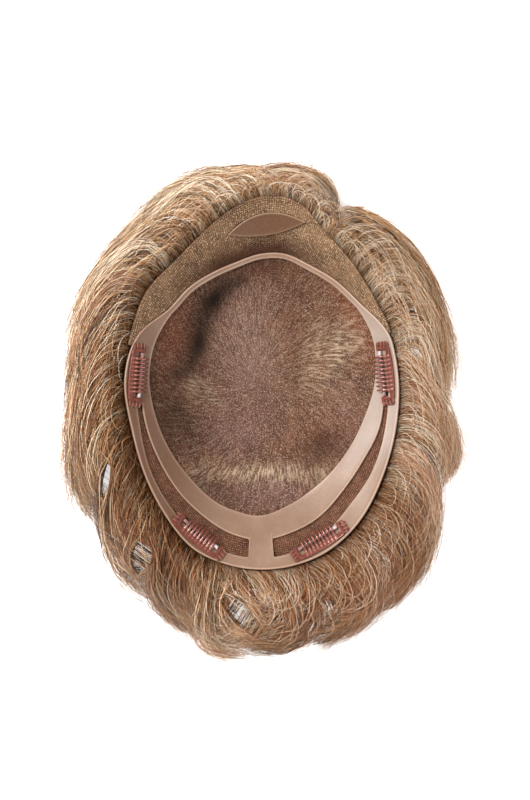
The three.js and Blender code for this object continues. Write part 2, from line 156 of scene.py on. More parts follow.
def sewnEdges():
    # Where the centre of the box of the mono panel lies in the model's own frame, from the same ring of
    # 40 corners as the CAD piece, upper and lower.
    degrees = np.arange(0, 360, 9.0)
    edge = planAt(degrees, bowl["tuck"] - frameInner(degrees))
    ring = np.concatenate([bowlPoint(edge, 0.0), bowlPoint(edge, -bowl["clothWall"])])
    return (ring.min(0) + ring.max(0)) / 2


# Widths of lace, frame and windows, measured in from the rim.
poly = {
    "laceDepth": 26.0,
    "laceSpan": (16.0, 168.0),  # degrees
    "stripe": 2.5,
    "frame": 25.2,
    "outerBand": 5.5,
    "window": 9.0,
    "bridge": 12.0,
    "windowShare": 0.9,
    "corner": 1.2,
    "cornerShare": 0.6,
    "rightTop": 357.0,
    "leftTop": 187.5,
    "beadRise": 0.14,  # the cast edge stands a little proud
    "beadAt": 0.4,
    "beadWidth": 0.32,
    "edgeRound": 0.28,
}


def laceEdge(degrees):
    return poly["laceDepth"] * columnAt("lace", degrees)


def frameInner(degrees):
    return laceEdge(degrees) + poly["stripe"] + (poly["frame"] - poly["stripe"]) * columnAt("band", degrees)


def windowOuter(degrees):
    return poly["outerBand"] * columnAt("outer", degrees)


def windowInner(degrees):
    return windowOuter(degrees) + poly["window"] * columnAt("window", degrees)


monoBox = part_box("mono_top")
shift = 1000 * (np.array(monoBox[0]) + np.array(monoBox[1])) / 2 - sewnEdges()
shift[2] = 0.0
print("own frame to pack, mm:", np.round(shift, 3))

# The camera looks straight down on the plane through the rim; the photograph is 530 x 800 pixels.
view = {
    "pixelMm": 0.48,
    "tall": 800,
    "centre": (1.92, -8.16),
    "plane": 45.0,
    "away": 1400.0,
    "sensor": 36.0,
    "nearest": 0.05,  # metres from the camera
}
camera = bpy.data.objects.new("camera", bpy.data.cameras.new("camera"))
bpy.context.collection.objects.link(camera)
bpy.context.scene.camera = camera
camera.data.sensor_fit = "VERTICAL"
camera.data.sensor_height = view["sensor"]
camera.data.lens = view["sensor"] * view["away"] / (view["pixelMm"] * view["tall"])
camera.data.clip_start = view["nearest"]
camera.location = (
    (view["centre"][0] + shift[0]) / 1000,
    (view["centre"][1] + shift[1]) / 1000,
    (view["plane"] + view["away"]) / 1000,
)

# Light and floor: an even pale studio, with the key light at the upper left.
studio = {
    "worldStrength": 0.4,
    "key": {"place": (-0.7, 0.45, 1.25), "size": 0.4, "watts": 24.0},
    "side": {"place": (-1.5, 0.6, 0.5), "size": 0.45, "watts": 13.0},
    "fill": {"place": (0.9, -0.45, 1.1), "size": 1.0, "watts": 13.0},
    "floorSize": 6.0,
    "floorGap": 0.0004,  # under the piece, so that no two faces lie in one plane
    "floorGlow": 0.72,  # keeps the floor as white as the photograph's
}


def toLinear(hexColour):
    # sRGB to linear: c / 12.92 under 0.04045, and ((c + 0.055) / 1.055) to the power 2.4 above it.
    parts = [int(hexColour[i : i + 2], 16) / 255 for i in (1, 3, 5)]
    return (*[c / 12.92 if c <= 0.04045 else ((c + 0.055) / 1.055) ** 2.4 for c in parts], 1.0)


def perMetre(millimetres):
    return 1000 / millimetres


def addNode(tree, kind, values=None, links=None, stops=None, **settings):
    # One node: settings on the node, values on its sockets, links from other sockets, stops of a ramp.
    node = tree.nodes.new(kind)
    for key, value in settings.items():
        setattr(node, key, value)
    for key, value in (values or {}).items():
        node.inputs[key].default_value = value
    for key, socket in (links or {}).items():
        tree.links.new(socket, node.inputs[key])
    if stops:
        ramp = node.color_ramp
        while len(ramp.elements) < len(stops):
            ramp.elements.new(1.0)
        for element, (position, colour) in zip(ramp.elements, stops):
            element.position = position
            element.color = toLinear(colour) if isinstance(colour, str) else (colour, colour, colour, 1.0)
    return node


def newMaterial(name, **surface):
    # An empty Principled material, with its constant values, and its node tree.
    material = bpy.data.materials.new(name)
    material.use_nodes = True
    tree = material.node_tree
    shader = tree.nodes["Principled BSDF"]
    for key, value in surface.items():
        shader.inputs[key.replace("_", " ")].default_value = value
    return material, tree, shader


def mixed(tree, factor, first, second, blend="MIX"):
    # Two colours mixed; a factor or a colour is a socket, a number or a hex value.
    node = addNode(tree, "ShaderNodeMix", data_type="RGBA", blend_type=blend, clamp_factor=True)
    for index, value in ((0, factor), (6, first), (7, second)):
        if isinstance(value, str):
            node.inputs[index].default_value = toLinear(value)
        elif isinstance(value, (int, float)):
            node.inputs[index].default_value = value
        else:
            tree.links.new(value, node.inputs[index])
    return node.outputs[2]


def bumped(tree, shader, height, distanceMm, strength=1.0):
    bump = addNode(
        tree, "ShaderNodeBump", {"Strength": strength, "Distance": distanceMm / 1000}, {"Height": height}
    )
    tree.links.new(bump.outputs["Normal"], shader.inputs["Normal"])


def attributeOf(tree, name):
    return addNode(tree, "ShaderNodeAttribute", attribute_name=name)


def makeStudio():
    world = bpy.data.worlds.new("studio")
    bpy.context.scene.world = world
    world.use_nodes = True
    world.node_tree.nodes["Background"].inputs["Color"].default_value = (1, 1, 1, 1)
    world.node_tree.nodes["Background"].inputs["Strength"].default_value = studio["worldStrength"]
    for name in ("key", "side", "fill"):
        data = bpy.data.lights.new(name, "AREA")
        data.size = studio[name]["size"]
        data.energy = studio[name]["watts"]
        lamp = bpy.data.objects.new(name, data)
        bpy.context.collection.objects.link(lamp)
        place = np.array(studio[name]["place"])
        lamp.location = place
        flat = math.hypot(place[0], place[1])
        lamp.rotation_euler = (math.atan2(flat, place[2]), 0, math.atan2(place[0], -place[1]))
    half = studio["floorSize"] / 2
    corners = [(-half, -half, 0), (half, -half, 0), (half, half, 0), (-half, half, 0)]
    mesh = bpy.data.meshes.new("floor")
    mesh.from_pydata(corners, [], [(0, 1, 2, 3)])
    floor = bpy.data.objects.new("floor", mesh)
    floor.location.z = -studio["floorGap"]
    bpy.context.collection.objects.link(floor)
    material = newMaterial(
        "white paper sweep",
        Base_Color=toLinear("#F6F5F3"),
        Roughness=0.9,
        Emission_Color=(1, 1, 1, 1),
        Emission_Strength=studio["floorGlow"],
    )[0]
    mesh.materials.append(material)
    bpy.context.scene.view_settings.view_transform = "Standard"


makeStudio()
print("camera and studio ready")


def volumeOf(points, blocks):
    # Six times the volume inside a closed mesh: the triple products of its faces, cut into triangles.
    total = 0.0
    for block in blocks:
        for k in range(1, block.shape[1] - 1):
            a, b, c = (points[block[:, i]] for i in (0, k, k + 1))
            total += np.einsum("ij,ij->", a, np.cross(b, c))
    return total


def outward(points, blocks):
    # The faces of one closed shell, turned over if they point inwards.
    if volumeOf(points - points.mean(0), blocks) < 0:
        blocks = [block[:, ::-1] for block in blocks]
    return points, blocks


def joined(shells):
    # Several closed shells as one list of points and faces.
    points, blocks, start = [], [], 0
    for shellPoints, shellBlocks in shells:
        points.append(shellPoints)
        blocks += [block + start for block in shellBlocks]
        start += len(shellPoints)
    return np.concatenate(points), blocks


def makePiece(name, points, blocks, material, slotName, attributes=None, sheetUv=None, flat=False):
    # The mesh of one piece: its points moved into the frame of the pack, in metres, and its faces.
    mesh = bpy.data.meshes.new(name)
    corners = np.concatenate([block.ravel() for block in blocks]).astype(np.int32)
    sizes = np.concatenate([np.full(len(block), block.shape[1]) for block in blocks])
    mesh.vertices.add(len(points))
    mesh.vertices.foreach_set("co", ((points + shift) / 1000).astype(np.float32).ravel())
    mesh.loops.add(len(corners))
    mesh.loops.foreach_set("vertex_index", corners)
    mesh.polygons.add(len(sizes))
    mesh.polygons.foreach_set("loop_start", (np.cumsum(sizes) - sizes).astype(np.int32))
    mesh.polygons.foreach_set("use_smooth", np.full(len(sizes), not flat))
    for key, values in (attributes or {}).items():
        kind, field = ("FLOAT", "value") if values.ndim == 1 else ("FLOAT_VECTOR", "vector")
        mesh.attributes.new(key, kind, "POINT").data.foreach_set(field, values.astype(np.float32).ravel())
    if sheetUv is not None:
        layer = mesh.uv_layers.new(name="laid")
        layer.data.foreach_set("uv", (sheetUv / 1000)[corners].astype(np.float32).ravel())
    mesh.update(calc_edges=True)
    mesh.materials.append(material)
    piece = bpy.data.objects.new(name, mesh)
    bpy.context.collection.objects.link(piece)
    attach(piece, "root")
    print(name, sum(int(n) - 2 for n in sizes), "triangles")
    return piece


def closeSheet(top, bottom, wrap, kept=None):
    # A closed sheet from two grids of points, rows by columns: the upper faces, the lower faces turned
    # over, and a wall under each edge that only one kept cell has.
    rows, columns = top.shape[:2]
    count = rows * columns
    index = np.arange(count).reshape(rows, columns)
    after = np.roll(index, -1, axis=1) if wrap else index[:, 1:]
    here = index if wrap else index[:, :-1]
    cells = np.stack([here[:-1], after[:-1], after[1:], here[1:]], axis=-1)
    cells = cells[kept] if kept is not None else cells.reshape(-1, 4)
    edges = np.stack([cells, np.roll(cells, -1, axis=1)], axis=-1).reshape(-1, 2)
    keys = edges[:, 0].astype(np.int64) * count + edges[:, 1]
    turned = edges[:, 1].astype(np.int64) * count + edges[:, 0]
    border = edges[~np.isin(keys, turned)]
    walls = np.stack([border[:, 1], border[:, 0], border[:, 0] + count, border[:, 1] + count], axis=1)
    points = np.concatenate([top.reshape(-1, 3), bottom.reshape(-1, 3)])
    blocks = np.concatenate([cells, cells[:, ::-1] + count, walls])
    used, blocks = np.unique(blocks, return_inverse=True)
    return (*outward(points[used], [blocks.reshape(-1, 4)]), used)


def tubes(centres, across, upward, sides):
    # Closed tubes along many paths at once: round each path's point runs an ellipse, whose axes are the
    # level direction at right angles to the path and the direction square to both. centres is tube by
    # step by xyz, and across and upward are the ellipse's half-widths, tube by step.
    count, steps = centres.shape[:2]
    along = np.gradient(centres, axis=1)
    along /= np.linalg.norm(along, axis=-1, keepdims=True)
    side = np.stack([along[..., 1], -along[..., 0], np.full(along.shape[:2], 1e-6)], axis=-1)
    side /= np.linalg.norm(side, axis=-1, keepdims=True)
    up = np.cross(side, along)
    turn = 2 * np.pi * np.arange(sides) / sides
    ring = (
        side[:, :, None] * (np.cos(turn)[:, None] * across[:, :, None, None])
        + up[:, :, None] * (np.sin(turn)[:, None] * upward[:, :, None, None])
    )
    points = (centres[:, :, None] + ring).reshape(-1, 3)
    index = np.arange(count * steps * sides).reshape(count, steps, sides)
    beside = np.roll(index, -1, axis=2)
    quads = np.stack([index[:, :-1], index[:, 1:], beside[:, 1:], beside[:, :-1]], axis=-1)
    blocks = [quads.reshape(-1, 4), index[:, 0], index[:, -1, ::-1]]
    return points, blocks


edgeRows = np.array([0.0, 0.1, 0.25, 0.42, 0.62, 0.95])  # mm in from an edge, fine enough for its bead


def rowsAcross(width, middle):
    # Distances of the rows across a band of each width: close together at both edges, even between.
    near = np.minimum(edgeRows[:, None], width * (edgeRows / (2.2 * edgeRows[-1]))[:, None])
    far = (width - near)[::-1]
    shares = (np.arange(1, middle + 1) / (middle + 1))[:, None]
    return np.concatenate([near, near[-1] + (far[0] - near[-1]) * shares, far])


def beadHeight(distance):
    # How far a cast edge stands proud: a bell at beadAt, less a quarter round over the last bit.
    bell = poly["beadRise"] * np.exp(-(((distance - poly["beadAt"]) / poly["beadWidth"]) ** 2))
    left = np.clip(1 - distance / poly["edgeRound"], 0, 1)
    return bell - poly["edgeRound"] * (1 - np.sqrt(1 - left**2))


def areaOf(points, blocks):
    # The area of a mesh of quads in square metres, by the cross products of their two diagonals.
    total = 0.0
    for block in blocks:
        a, b, c, d = (points[block[:, i % block.shape[1]]] for i in range(4))
        total += np.linalg.norm(np.cross(c - a, d - b), axis=1).sum() / 2
    return total / 1e6


def arcLength(points):
    # The length of a line of points, in metres.
    return np.linalg.norm(np.diff(points, axis=0), axis=1).sum() / 1000


# Mono panel: nylon monofilament gauze, knotted full of hair, so that it looks mottled and combed.
mono = {
    "rings": 46,
    "columns": 150,
    "wall": 0.6,
    "ripple": 0.22,
    "rippleLength": 17.0,
    "weaveMm": 1.0,  # drawn three times as coarse as the gauze, so that it shows
    "speckMm": 0.62,  # drawn about three times as coarse as the gauze, so that it shows
    "streakTurns": 44.0,  # streaks round the crown
    "streakMm": 4.5,
    "swirl": 0.5,  # turn of the streaks from the crown to the rim, in radians
    "wideShare": 0.78,  # the panel's part of the rim's width and length
    "longShare": 0.72,
    "underPoly": 1.08,  # with what lies under the poly
    "fullness": 0.8,  # least share of its flat rectangle that the panel fills
}
# Soft patches: painted shade over the fold, the left side, the front edge and a few spots toward the back;
# painted light mostly on the right side, and paler gauze in a strip toward the nape; warm and mauve hair
# showing through. Each row: kind, middle, half-widths, turn and amount.
patchKinds = ("shadeAndDepth", "warm", "litAndPale", "mauve")
patches = [
    ("shadeAndDepth", (-46.0, 4.0), (20.0, 44.0), 0, 0.33),
    ("shadeAndDepth", (-4.0, 54.0), (44.0, 12.0), 0, 0.2),
    ("shadeAndDepth", (-13.0, 49.0), (9.0, 3.8), 30, 0.6),
    ("shadeAndDepth", (-23.0, 40.5), (11.5, 5.6), 55, 0.98),
    ("shadeAndDepth", (-30.5, 20.0), (14.5, 5.6), 76, 0.97),
    ("shadeAndDepth", (-38.0, 6.0), (7.0, 4.0), 45, 0.6),
    ("shadeAndDepth", (-6.0, 58.5), (26.0, 4.5), 4, 0.5),
    ("shadeAndDepth", (-42.0, -19.0), (15.0, 10.0), 112, 0.5),
    ("shadeAndDepth", (30.0, -30.0), (13.0, 8.0), 30, 0.62),
    ("shadeAndDepth", (17.0, 16.0), (5.0, 26.0), 4, 0.25),
    ("shadeAndDepth", (-19.0, -53.0), (14.0, 4.0), 150, 0.35),
    ("warm", (-43.5, 26.0), (10.0, 22.0), 0, 0.85),
    ("warm", (46.5, 30.0), (24.0, 6.0), -66, 0.85),
    ("warm", (32.0, -26.0), (15.0, 11.0), 30, 0.6),
    ("warm", (18.0, 14.0), (9.0, 30.0), 4, 0.4),
    ("warm", (-10.0, 56.0), (30.0, 6.0), 6, 0.5),
    ("litAndPale", (37.0, 17.0), (15.0, 9.0), 42, 0.8),
    ("litAndPale", (24.0, 8.0), (14.0, 22.0), 0, 0.25),
    ("litAndPale", (-30.0, -3.0), (11.0, 5.0), 150, 0.5),
    ("litAndPale", (2.0, -44.0), (32.0, 4.4), 0, 0.85),
    ("litAndPale", (-7.0, 22.0), (15.0, 26.0), 0, 0.22),
    ("mauve", (-6.0, 18.0), (16.0, 34.0), 0, 0.6),
    ("mauve", (-13.0, -24.0), (15.0, 11.0), 0, 0.6),
    ("mauve", (4.0, -54.0), (22.0, 8.0), 0, 0.6),
    ("mauve", (42.0, -16.0), (8.0, 14.0), 0, 0.5),
]


def monoMaterial():
    # Brown nylon gauze, woven from bare monofilament: dull, with glinting holes and hair behind it, painted
    # shade over its fold and left side and painted light on its right side.
    material, tree, shader = newMaterial("nylon monofilament gauze", Roughness=0.7, Specular_IOR_Level=0.1)
    place = addNode(tree, "ShaderNodeTexCoord").outputs["Object"]
    comb = attributeOf(tree, "comb").outputs["Vector"]
    shadeAndDepth, warm, litAndPale, mauve = (attributeOf(tree, kind).outputs["Fac"] for kind in patchKinds)
    streaks = addNode(
        tree, "ShaderNodeTexNoise", {"Scale": 1.0, "Detail": 3.0, "Roughness": 0.6}, {"Vector": comb}
    ).outputs["Fac"]
    cloud = addNode(
        tree,
        "ShaderNodeTexNoise",
        {"Scale": perMetre(9), "Detail": 3.0, "Roughness": 0.6},
        {"Vector": place},
    ).outputs["Fac"]
    grit = addNode(
        tree,
        "ShaderNodeTexNoise",
        {"Scale": perMetre(mono["speckMm"]), "Detail": 1.0, "Roughness": 0.6},
        {"Vector": place},
    ).outputs["Fac"]
    weave = [
        addNode(
            tree,
            "ShaderNodeTexWave",
            {"Scale": perMetre(mono["weaveMm"]) / 20, "Distortion": 0.4},
            {"Vector": place},
            bands_direction=direction,
        ).outputs["Fac"]
        for direction in ("X", "Y")
    ]
    cells = addNode(
        tree, "ShaderNodeMath", links={0: weave[0], 1: weave[1]}, operation="MULTIPLY"
    ).outputs[0]
    ground = addNode(
        tree, "ShaderNodeValToRGB", links={"Fac": cloud}, stops=[(0.35, "#44281A"), (0.65, "#603E2A")]
    ).outputs["Color"]
    ground = mixed(tree, mauve, ground, "#644642")
    ground = mixed(tree, warm, ground, "#6B3820")
    paleStreak = addNode(
        tree, "ShaderNodeValToRGB", links={"Fac": streaks}, stops=[(0.5, 0.0), (0.74, 0.5)]
    )
    darkStreak = addNode(
        tree, "ShaderNodeValToRGB", links={"Fac": streaks}, stops=[(0.3, 0.4), (0.46, 0.0)]
    )
    combed = mixed(tree, paleStreak.outputs["Color"], ground, "#957A66")
    combed = mixed(tree, darkStreak.outputs["Color"], combed, "#38221A")
    strands = addNode(
        tree, "ShaderNodeValToRGB", links={"Fac": streaks}, stops=[(0.44, 0.08), (0.64, 0.95)]
    )
    # Painted light: pale streaks where the light patches lie.
    lit = addNode(
        tree, "ShaderNodeMath", links={0: litAndPale, 1: strands.outputs["Color"]}, operation="MULTIPLY"
    ).outputs[0]
    combed = mixed(tree, lit, combed, "#C4AC8E")
    specks = addNode(tree, "ShaderNodeValToRGB", links={"Fac": grit}, stops=[(0.53, 0.0), (0.7, 0.6)])
    holes = addNode(tree, "ShaderNodeValToRGB", links={"Fac": grit}, stops=[(0.32, 0.3), (0.45, 0.0)])
    speckled = mixed(tree, specks.outputs["Color"], combed, "#AF9684")
    speckled = mixed(tree, holes.outputs["Color"], speckled, "#36211A")
    # Painted shade: near black where the dark patches lie.
    shaded = mixed(tree, shadeAndDepth, speckled, "#140A05")
    tree.links.new(shaded, shader.inputs["Base Color"])
    bumped(tree, shader, cells, 0.2, 0.5)
    return material


def makeMono():
    # Rings from a fan at the crown out to the edge under the poly: each point is a share of the way to
    # the edge, on the bowl, with two crossed sine ripples that fade toward the edge.
    degrees = np.arange(mono["columns"]) * 360 / mono["columns"]
    rings = np.linspace(0, 1, mono["rings"] + 1)[1:]
    edge = planAt(degrees, bowl["tuck"] - frameInner(degrees))
    plan = edge[None] * rings[:, None, None]
    wave = 2 * np.pi / mono["rippleLength"]
    ripple = np.sin(wave * (plan[..., 0] + 0.4 * plan[..., 1])) * np.sin(0.7 * wave * plan[..., 1] + 1)
    lift = mono["ripple"] * ripple * (1 - rings[:, None] ** 6)
    top, bottom = bowlPoint(plan, lift), bowlPoint(plan, lift - mono["wall"])
    crown = np.zeros((1, 2))
    count, wide = top.shape[0] * top.shape[1], mono["columns"]
    points = np.concatenate([
        top.reshape(-1, 3),
        bottom.reshape(-1, 3),
        bowlPoint(crown, np.zeros(1)),
        bowlPoint(crown, np.full(1, -mono["wall"])),
    ])
    index = np.arange(count).reshape(-1, wide)
    after = np.roll(index, -1, axis=1)
    cells = np.stack([index[:-1], index[1:], after[1:], after[:-1]], axis=-1).reshape(-1, 4)
    wall = np.stack([index[-1], index[-1] + count, after[-1] + count, after[-1]], axis=-1)
    fan = np.stack([np.full(wide, 2 * count), index[0], after[0]], axis=-1)
    under = np.stack([np.full(wide, 2 * count + 1), after[0] + count, index[0] + count], axis=-1)
    points, blocks = outward(points, [np.concatenate([cells, cells[:, ::-1] + count, wall]), fan, under])
    around, share = placeOn(points[:, :2])
    angle = np.radians(around)
    reach = np.hypot(points[:, 0], points[:, 1])
    swirl = angle + mono["swirl"] * share
    comb = np.stack(
        [np.cos(swirl) * mono["streakTurns"], np.sin(swirl) * mono["streakTurns"], reach / mono["streakMm"]],
        axis=-1,
    )
    attributes = {"comb": comb}
    for kind in patchKinds:
        bare = 1 + 0 * reach
        for other, middle, half, turn, amount in patches:
            if other == kind:
                cosine, sine = math.cos(math.radians(turn)), math.sin(math.radians(turn))
                away = points[:, :2] - middle
                u = (away[:, 0] * cosine + away[:, 1] * sine) / half[0]
                v = (away[:, 1] * cosine - away[:, 0] * sine) / half[1]
                bare *= 1 - amount * np.exp(-(u**2) - v**2)
        attributes[kind] = 1 - bare
    piece = makePiece("mono_panel", points, blocks, monoMaterial(), "mono", attributes)
    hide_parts("mono_top")
    acrossRim, downRim = planAt(np.array([0.0, 180.0]), 0), planAt(np.array([90.0, 270.0]), 0)
    wide = arcLength(bowlPoint(acrossRim * mono["wideShare"], np.zeros(2))) * mono["underPoly"]
    long = arcLength(bowlPoint(downRim * mono["longShare"], np.zeros(2))) * mono["underPoly"]
    area = areaOf(points, blocks) / 2


makeMono()


def netMaterial(name, cellMm, ground, thread, shadeAndDepth, tangle):
    # Nylon net: knots of thread round open cells, dull thread over the darker hair behind it, and painted
    # shade where the shade attribute lies.
    material, tree, shader = newMaterial(name, Roughness=0.72, Specular_IOR_Level=0.12)
    laid = addNode(tree, "ShaderNodeUVMap", uv_map="laid").outputs["UV"]
    place = addNode(tree, "ShaderNodeTexCoord").outputs["Object"]
    cells = addNode(
        tree,
        "ShaderNodeTexVoronoi",
        {"Scale": perMetre(cellMm), "Randomness": tangle},
        {"Vector": laid},
        feature="F1",
    ).outputs["Distance"]
    cloud = addNode(
        tree,
        "ShaderNodeTexNoise",
        {"Scale": perMetre(7), "Detail": 4.0, "Roughness": 0.7},
        {"Vector": place},
    ).outputs["Fac"]
    grit = addNode(
        tree, "ShaderNodeTexNoise", {"Scale": perMetre(0.7), "Detail": 2.0}, {"Vector": place}
    ).outputs["Fac"]
    net = addNode(tree, "ShaderNodeValToRGB", links={"Fac": cells}, stops=[(0.3, 0.0), (0.62, 1.0)])
    shade = attributeOf(tree, "shade").outputs["Fac"]
    depth = addNode(
        tree, "ShaderNodeValToRGB", links={"Fac": cloud}, stops=[(0.28, shadeAndDepth), (0.66, ground)]
    )
    glint = addNode(tree, "ShaderNodeValToRGB", links={"Fac": grit}, stops=[(0.46, 0.15), (0.64, 1.0)])
    amount = addNode(
        tree,
        "ShaderNodeMath",
        links={0: net.outputs["Color"], 1: glint.outputs["Color"]},
        operation="MULTIPLY",
    )
    cloth = mixed(tree, amount.outputs[0], depth.outputs["Color"], thread)
    # Painted shade where the shade attribute is high.
    cloth = mixed(tree, shade, cloth, shadeAndDepth)
    tree.links.new(cloth, shader.inputs["Base Color"])
    bumped(tree, shader, net.outputs["Color"], 0.12, 0.6)
    return material


def stripSheet(name, degrees, outer, inner, size, bead, material, slotName, shade):
    # A strip of the bowl between two distances in from the rim: rows across it, columns along it, and
    # the laid-out coordinates are the length along its middle and the distance across, in millimetres.
    rows = rowsAcross(inner - outer, size["middleRows"])
    plan = planAt(degrees[None], -(outer + rows))
    edge = np.minimum(rows, (inner - outer)[None] - rows)
    top = bowlPoint(plan, bead * beadHeight(edge))
    bottom = bowlPoint(plan, np.full(edge.shape, -size["wall"]))
    middle = top[len(rows) // 2]
    along = np.concatenate([[0], np.cumsum(np.linalg.norm(np.diff(middle, axis=0), axis=1))])
    laid = np.stack(np.broadcast_arrays(along[None], rows + outer), axis=-1).reshape(-1, 2)
    points, blocks, used = closeSheet(top, bottom, False)
    shades = np.tile(shade(degrees, rows + outer).ravel(), 2)[used]
    sheetUv = np.tile(laid, (2, 1))[used]
    piece = makePiece(name, points, blocks, material, slotName, {"shade": shades}, sheetUv)
    area = areaOf(points, blocks) / 2
    return piece


# Lace front: fine nylon net along the hairline, with a turned edge.
lace = {"columns": 200, "cellMm": 0.95, "wall": 0.6, "middleRows": 10}


def makeLace():
    degrees = np.linspace(*poly["laceSpan"], lace["columns"])
    material = netMaterial("swiss lace net", lace["cellMm"], "#7E5A40", "#DDC29C", "#341A0E", 0.25)
    inner = laceEdge(degrees) + bowl["tuck"]
    # Painted shade, darkest along the stripe in the middle of the front.
    # And a little darker at the middle of the hairline.
    def stripeShade(around, inward):
        front = np.clip(1.25 - np.abs(around - 97) / 58, 0, 0.95)
        byStripe = front * np.exp(-(((laceEdge(around) - inward) / 9) ** 2))
        return byStripe + 0.25 * np.exp(-(((around - 95) / 24) ** 2) - (inward / 9) ** 2)

    piece = stripSheet("lace_net", degrees, 0 * degrees, inner, lace, 1.0, material, "lace", stripeShade)
    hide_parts("lace_front")


makeLace()

bridgeAngle = math.degrees(math.asin(poly["bridge"] / 2 / (bowl["halfWidth"] * poly["windowShare"])))
windowSpans = {
    "left": (poly["leftTop"], 270 - bridgeAngle),
    "right": (270 + bridgeAngle, poly["rightTop"]),
}


def windowEdges(degrees, start, end, grow=0.0):
    # The window's two edges, drawn in over a quarter ellipse toward its corner by the bridge.
    bridgeEnd = end if abs(end - 270) < abs(start - 270) else start
    fromEnd = np.radians(np.abs(degrees - bridgeEnd)) * bowl["halfWidth"]
    left = np.clip(1 - fromEnd / poly["corner"], 0, 1)
    narrowed = poly["corner"] * (1 - np.sqrt(1 - left**2)) * poly["cornerShare"]
    return windowOuter(degrees) + narrowed - grow, windowInner(degrees) - narrowed + grow


# Mesh windows: a welded grid of reddish brown polyester under the poly.
window = {"columns": 110, "cellMm": 1.0, "wall": 0.6, "middleRows": 5}


def makeWindows():
    material = netMaterial(
        "welded polyester mesh", window["cellMm"], "#5E3B2A", "#9C7861", "#36190F", 0.0
    )
    grow = math.degrees(bowl["tuck"] / bowl["halfWidth"])
    for side, (start, end) in windowSpans.items():
        degrees = np.linspace(start - grow, end + grow, window["columns"])
        outer, inner = windowEdges(degrees, start, end, bowl["tuck"])
        noShade = lambda around, inward: 0 * inward
        piece = stripSheet(f"mesh_{side}", degrees, outer, inner, window, 0.0, material, "mesh", noShade)
        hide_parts(f"mesh_window_{side}")


makeWindows()


def polyMaterial():
    # Cast polyurethane film: skin coloured, satin, with a fine pebble from the casting cloth; painted shade
    # on its left, painted light on its right and a painted highlight along its edges.
    material, tree, shader = newMaterial(
        "cast polyurethane film",
        Roughness=0.44,
        IOR=1.5,
        Coat_Weight=0.16,
        Coat_Roughness=0.3,
        Subsurface_Weight=0.12,
        Subsurface_Scale=0.002,
    )
    place = addNode(tree, "ShaderNodeTexCoord").outputs["Object"]
    cloud = addNode(
        tree, "ShaderNodeTexNoise", {"Scale": perMetre(14), "Detail": 3.0}, {"Vector": place}
    ).outputs["Fac"]
    grain = addNode(
        tree,
        "ShaderNodeTexNoise",
        {"Scale": perMetre(0.8), "Detail": 3.0, "Roughness": 0.65},
        {"Vector": place},
    ).outputs["Fac"]
    edge = attributeOf(tree, "edge").outputs["Fac"]
    tint = addNode(
        tree,
        "ShaderNodeValToRGB",
        links={"Fac": cloud},
        stops=[(0.3, "#886A56"), (0.55, "#927560"), (0.75, "#9C806C")],
    ).outputs["Color"]
    fine = addNode(tree, "ShaderNodeValToRGB", links={"Fac": grain}, stops=[(0.38, 0.35), (0.6, 0.0)])
    skin = mixed(tree, fine.outputs["Color"], tint, "#75594A")
    # Painted shade on the left and painted light on the right.
    skin = mixed(tree, attributeOf(tree, "leftShade").outputs["Fac"], skin, "#60402C")
    skin = mixed(tree, attributeOf(tree, "rightLight").outputs["Fac"], skin, "#D6D0CA")
    # Painted highlight along the raised edges.
    skin = mixed(tree, edge, skin, "#C9A58C")
    tree.links.new(skin, shader.inputs["Base Color"])
    bumped(tree, shader, grain, 0.12, 0.35)
    return material


frameRing = {
    "columns": 420,
    "outerRows": 4,
    "gapRows": 5,
    "innerRows": 6,
    "top": 1.4,
    "wall": 0.85,
    "rimShare": 0.36,  # of the width, the outer band where the frame is narrow
    "edgeFade": 0.55,  # the raised cast edge, in mm, and how strong the painted highlight along it is
    "edgeHighlight": 0.4,
    "leftShadeMost": 0.75,  # how much painted shade lies on the left
    "leftShadeFrom": 12.0,
    "leftShadeOver": 30.0,
    "rightLightMost": 0.26,  # how much painted light lies on the right
    "rightLightFrom": 34.0,
    "rightLightOver": 22.0,
}


